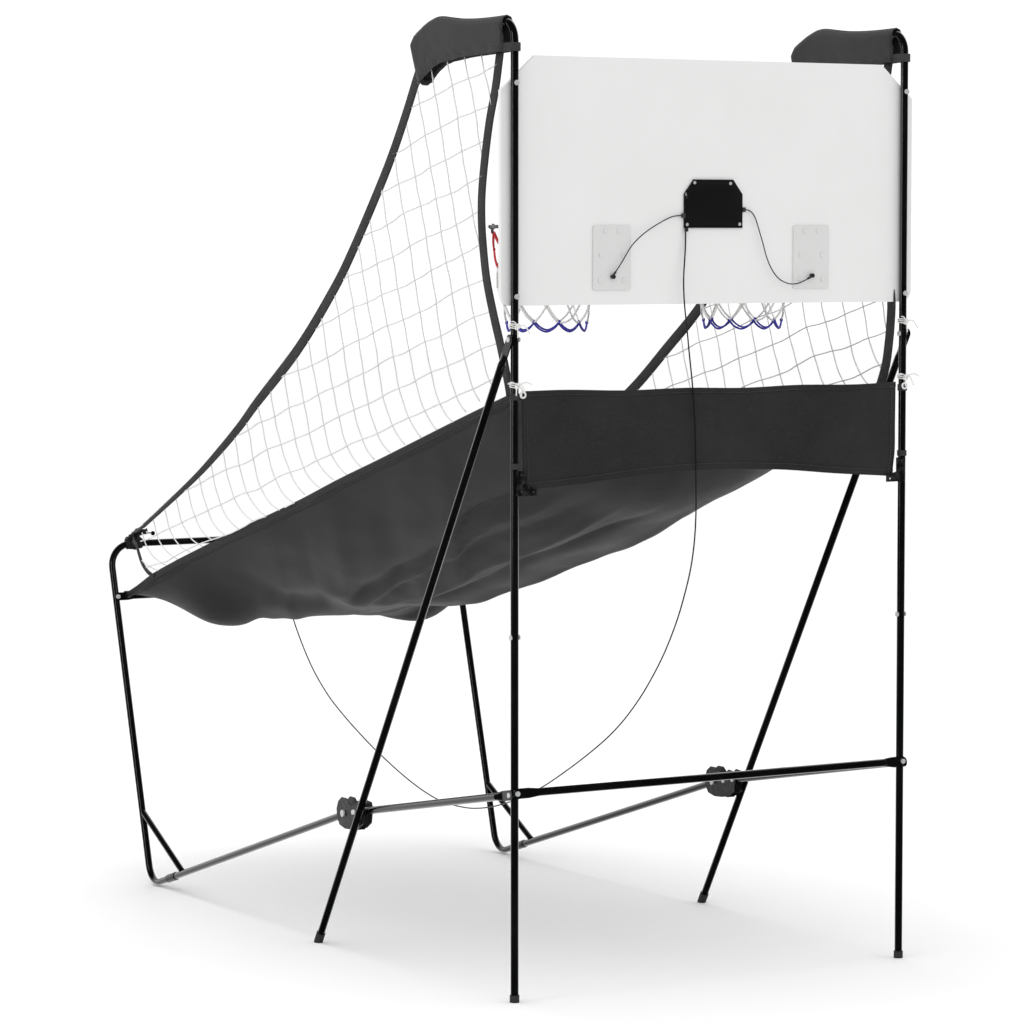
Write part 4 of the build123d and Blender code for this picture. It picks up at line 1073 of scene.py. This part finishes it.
def bar_wraps():
    """Gathered cloth tied round the top bar where each net ends, with its cord end."""
    for name, side in SIDES:
        made = Mesh()
        rings = []
        for i in range(30):
            t = i / 29
            x = side * (0.455 - 0.047 * t)
            ring = []
            for k in range(28):
                angle = k * tau / 28
                gather = 0.0014 * sin(angle * 9 + t * 5) + 0.0020 * lump(t * 6, angle * 1.5, side)
                radius = 0.0098 + 0.0048 * sin(pi * min(1, max(0, t * 1.05))) ** 0.6 + gather
                radius += 0.010 * bell(angle, pi * 0.62, 0.6) * bell(t, 0.55, 0.3)
                ring.append(at(x, 1.992 + radius * cos(angle), 0.830 + radius * sin(angle)))
            rings.append(ring)
        made.strip(rings)
        for start, end, width in (((0.452, 1.985, 0.842), (0.424, 1.958, 0.868), 0.0050),
                                  ((0.440, 1.978, 0.845), (0.412, 1.955, 0.866), 0.0042),
                                  ((0.430, 2.002, 0.838), (0.408, 1.972, 0.858), 0.0038)):
            a, b = (at(side * x, ahead, up) for x, ahead, up in (start, end))
            middle = (a + b) / 2 + Vector((0, 0, 0.004))
            line = smooth_line([a, middle, b], 0.003)
            made.tube(line, [width * (1 + 0.25 * sin(k * 1.9)) for k in range(len(line))], 10)
        for x in (0.450, 0.432):
            loop = [at(side * x, 1.992 + 0.0152 * a, 0.832 + 0.0152 * b) for a, b in circle(24)]
            made.tube(loop, 0.0012, 6, loop=True)
        obj = made.build(f"bar_wrap_{name}", "dark_fabric")
        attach(obj, "front_frame")

        stop = Mesh()
        stop.knot(at(side * 0.396, 1.955, 0.857), 0.0068, side)
        stop.tube(smooth_line([at(side * 0.396, 1.955, 0.857), at(side * 0.404, 1.958, 0.858),
                               at(side * 0.414, 1.962, 0.857)], 0.003), 0.0016, 8)
        piece = stop.build(f"cord_stop_{name}", "black_plastic")
        sub = piece.modifiers.new("round", "SUBSURF")
        sub.levels = sub.render_levels = 2
        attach(piece, "front_frame")


white_ties()
bar_wraps()


# ---------------------------------------------------------------- display digits
def digits():
    """Lit seven-segment zeros and a two-dot colon behind the display's outer face."""
    made = Mesh()
    front, middle = 0.0527, 1.692

    def bar(x, z, wide, tall):
        corners = [(x - wide / 2, z - tall / 2), (x + wide / 2, z - tall / 2), (x + wide / 2, z + tall / 2),
                   (x - wide / 2, z + tall / 2)]
        made.strip([[at(a, depth, b) for a, b in corners] for depth in (front - 0.0003, front)])

    for x in (-0.044, -0.022, 0.022, 0.044):
        for dx in (-0.0065, 0.0065):
            for dz in (-0.0075, 0.0075):
                bar(x + dx, middle + dz, 0.0022, 0.0115)
        for dz in (-0.0150, 0.0150):
            bar(x, middle + dz, 0.0100, 0.0022)
    for dz in (-0.006, 0.006):
        bar(0.0, middle + dz, 0.0028, 0.0028)
    s = Shader("lit_digits", Emission_Strength=1.6)
    glow = s.ramp(s.cloud(300.0), (0.75, 0.02, 0.015), (0.95, 0.04, 0.02))
    s.link(glow, "Base Color")
    s.link(glow, "Emission Color")
    obj = made.build("display_digits", "lit_digits", smooth=False)
    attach(obj, "stand")


digits()


# ---------------------------------------------------------------- floor and light
def studio():
    """White surroundings, a pale floor and four soft lamps."""
    world = bpy.data.worlds.new("studio")
    bpy.context.scene.world = world
    world.use_nodes = True
    world.cycles.sampling_method = "NONE"
    tree = world.node_tree
    # glossy surfaces mirror a white wall in front of the machine and a dark room behind it
    way = add_node(tree, "TexCoord").outputs["Generated"]
    ahead = add_node(tree, "VectorMath", {0: way, 1: (-0.51, -0.86, 0.0)}, operation="DOT_PRODUCT")
    room = add_node(tree, "MapRange", {
        "Value": ahead.outputs["Value"], "From Min": 0.25, "From Max": 0.65, "To Min": 0.0, "To Max": 1.0,
    })
    glossy = add_node(tree, "LightPath").outputs["Is Glossy Ray"]
    choice = add_node(tree, "Mix", {0: glossy, 2: 1.08, 3: room.outputs["Result"]})
    tree.nodes["Background"].inputs["Color"].default_value = (1, 1, 1, 1)
    tree.links.new(choice.outputs[0], tree.nodes["Background"].inputs["Strength"])
    floor = Mesh()
    rings = [[Vector((x * 2.0, y * 2.0, -0.0005)) for y in range(-20, 21)] for x in range(-20, 21)]
    floor.surface(rings)
    s = Shader("pale_floor", Roughness=0.9, Specular_IOR_Level=0.1)
    s.link(s.ramp(s.cloud(0.6), (0.950, 0.950, 0.950), (0.965, 0.965, 0.965)), "Base Color")
    ground = floor.build("floor", "pale_floor")
    ground.visible_glossy = False
    for name, place, wide, tall, power in (
        ("key", (6.5, 1.2, 2.6), 0.5, 4.5, 40), ("fill", (-5.0, 5.0, 3.0), 1.2, 4.0, 20),
        ("top", (0.5, 0.5, 6.0), 4.0, 4.0, 50), ("front", (1.5, -6.0, 3.5), 3.0, 3.0, 30),
    ):
        data = bpy.data.lights.new(name, "AREA")
        data.shape = "RECTANGLE"
        data.size = wide
        data.size_y = tall
        data.energy = power
        lamp = add_object(name, data)
        lamp.location = place
        lamp.visible_glossy = name == "key"
        aim = Vector((0, 0, 1.0)) - Vector(place)
        lamp.rotation_euler = aim.to_track_quat("-Z", "Y").to_euler()
    bpy.context.scene.view_settings.view_transform = "Standard"


studio()
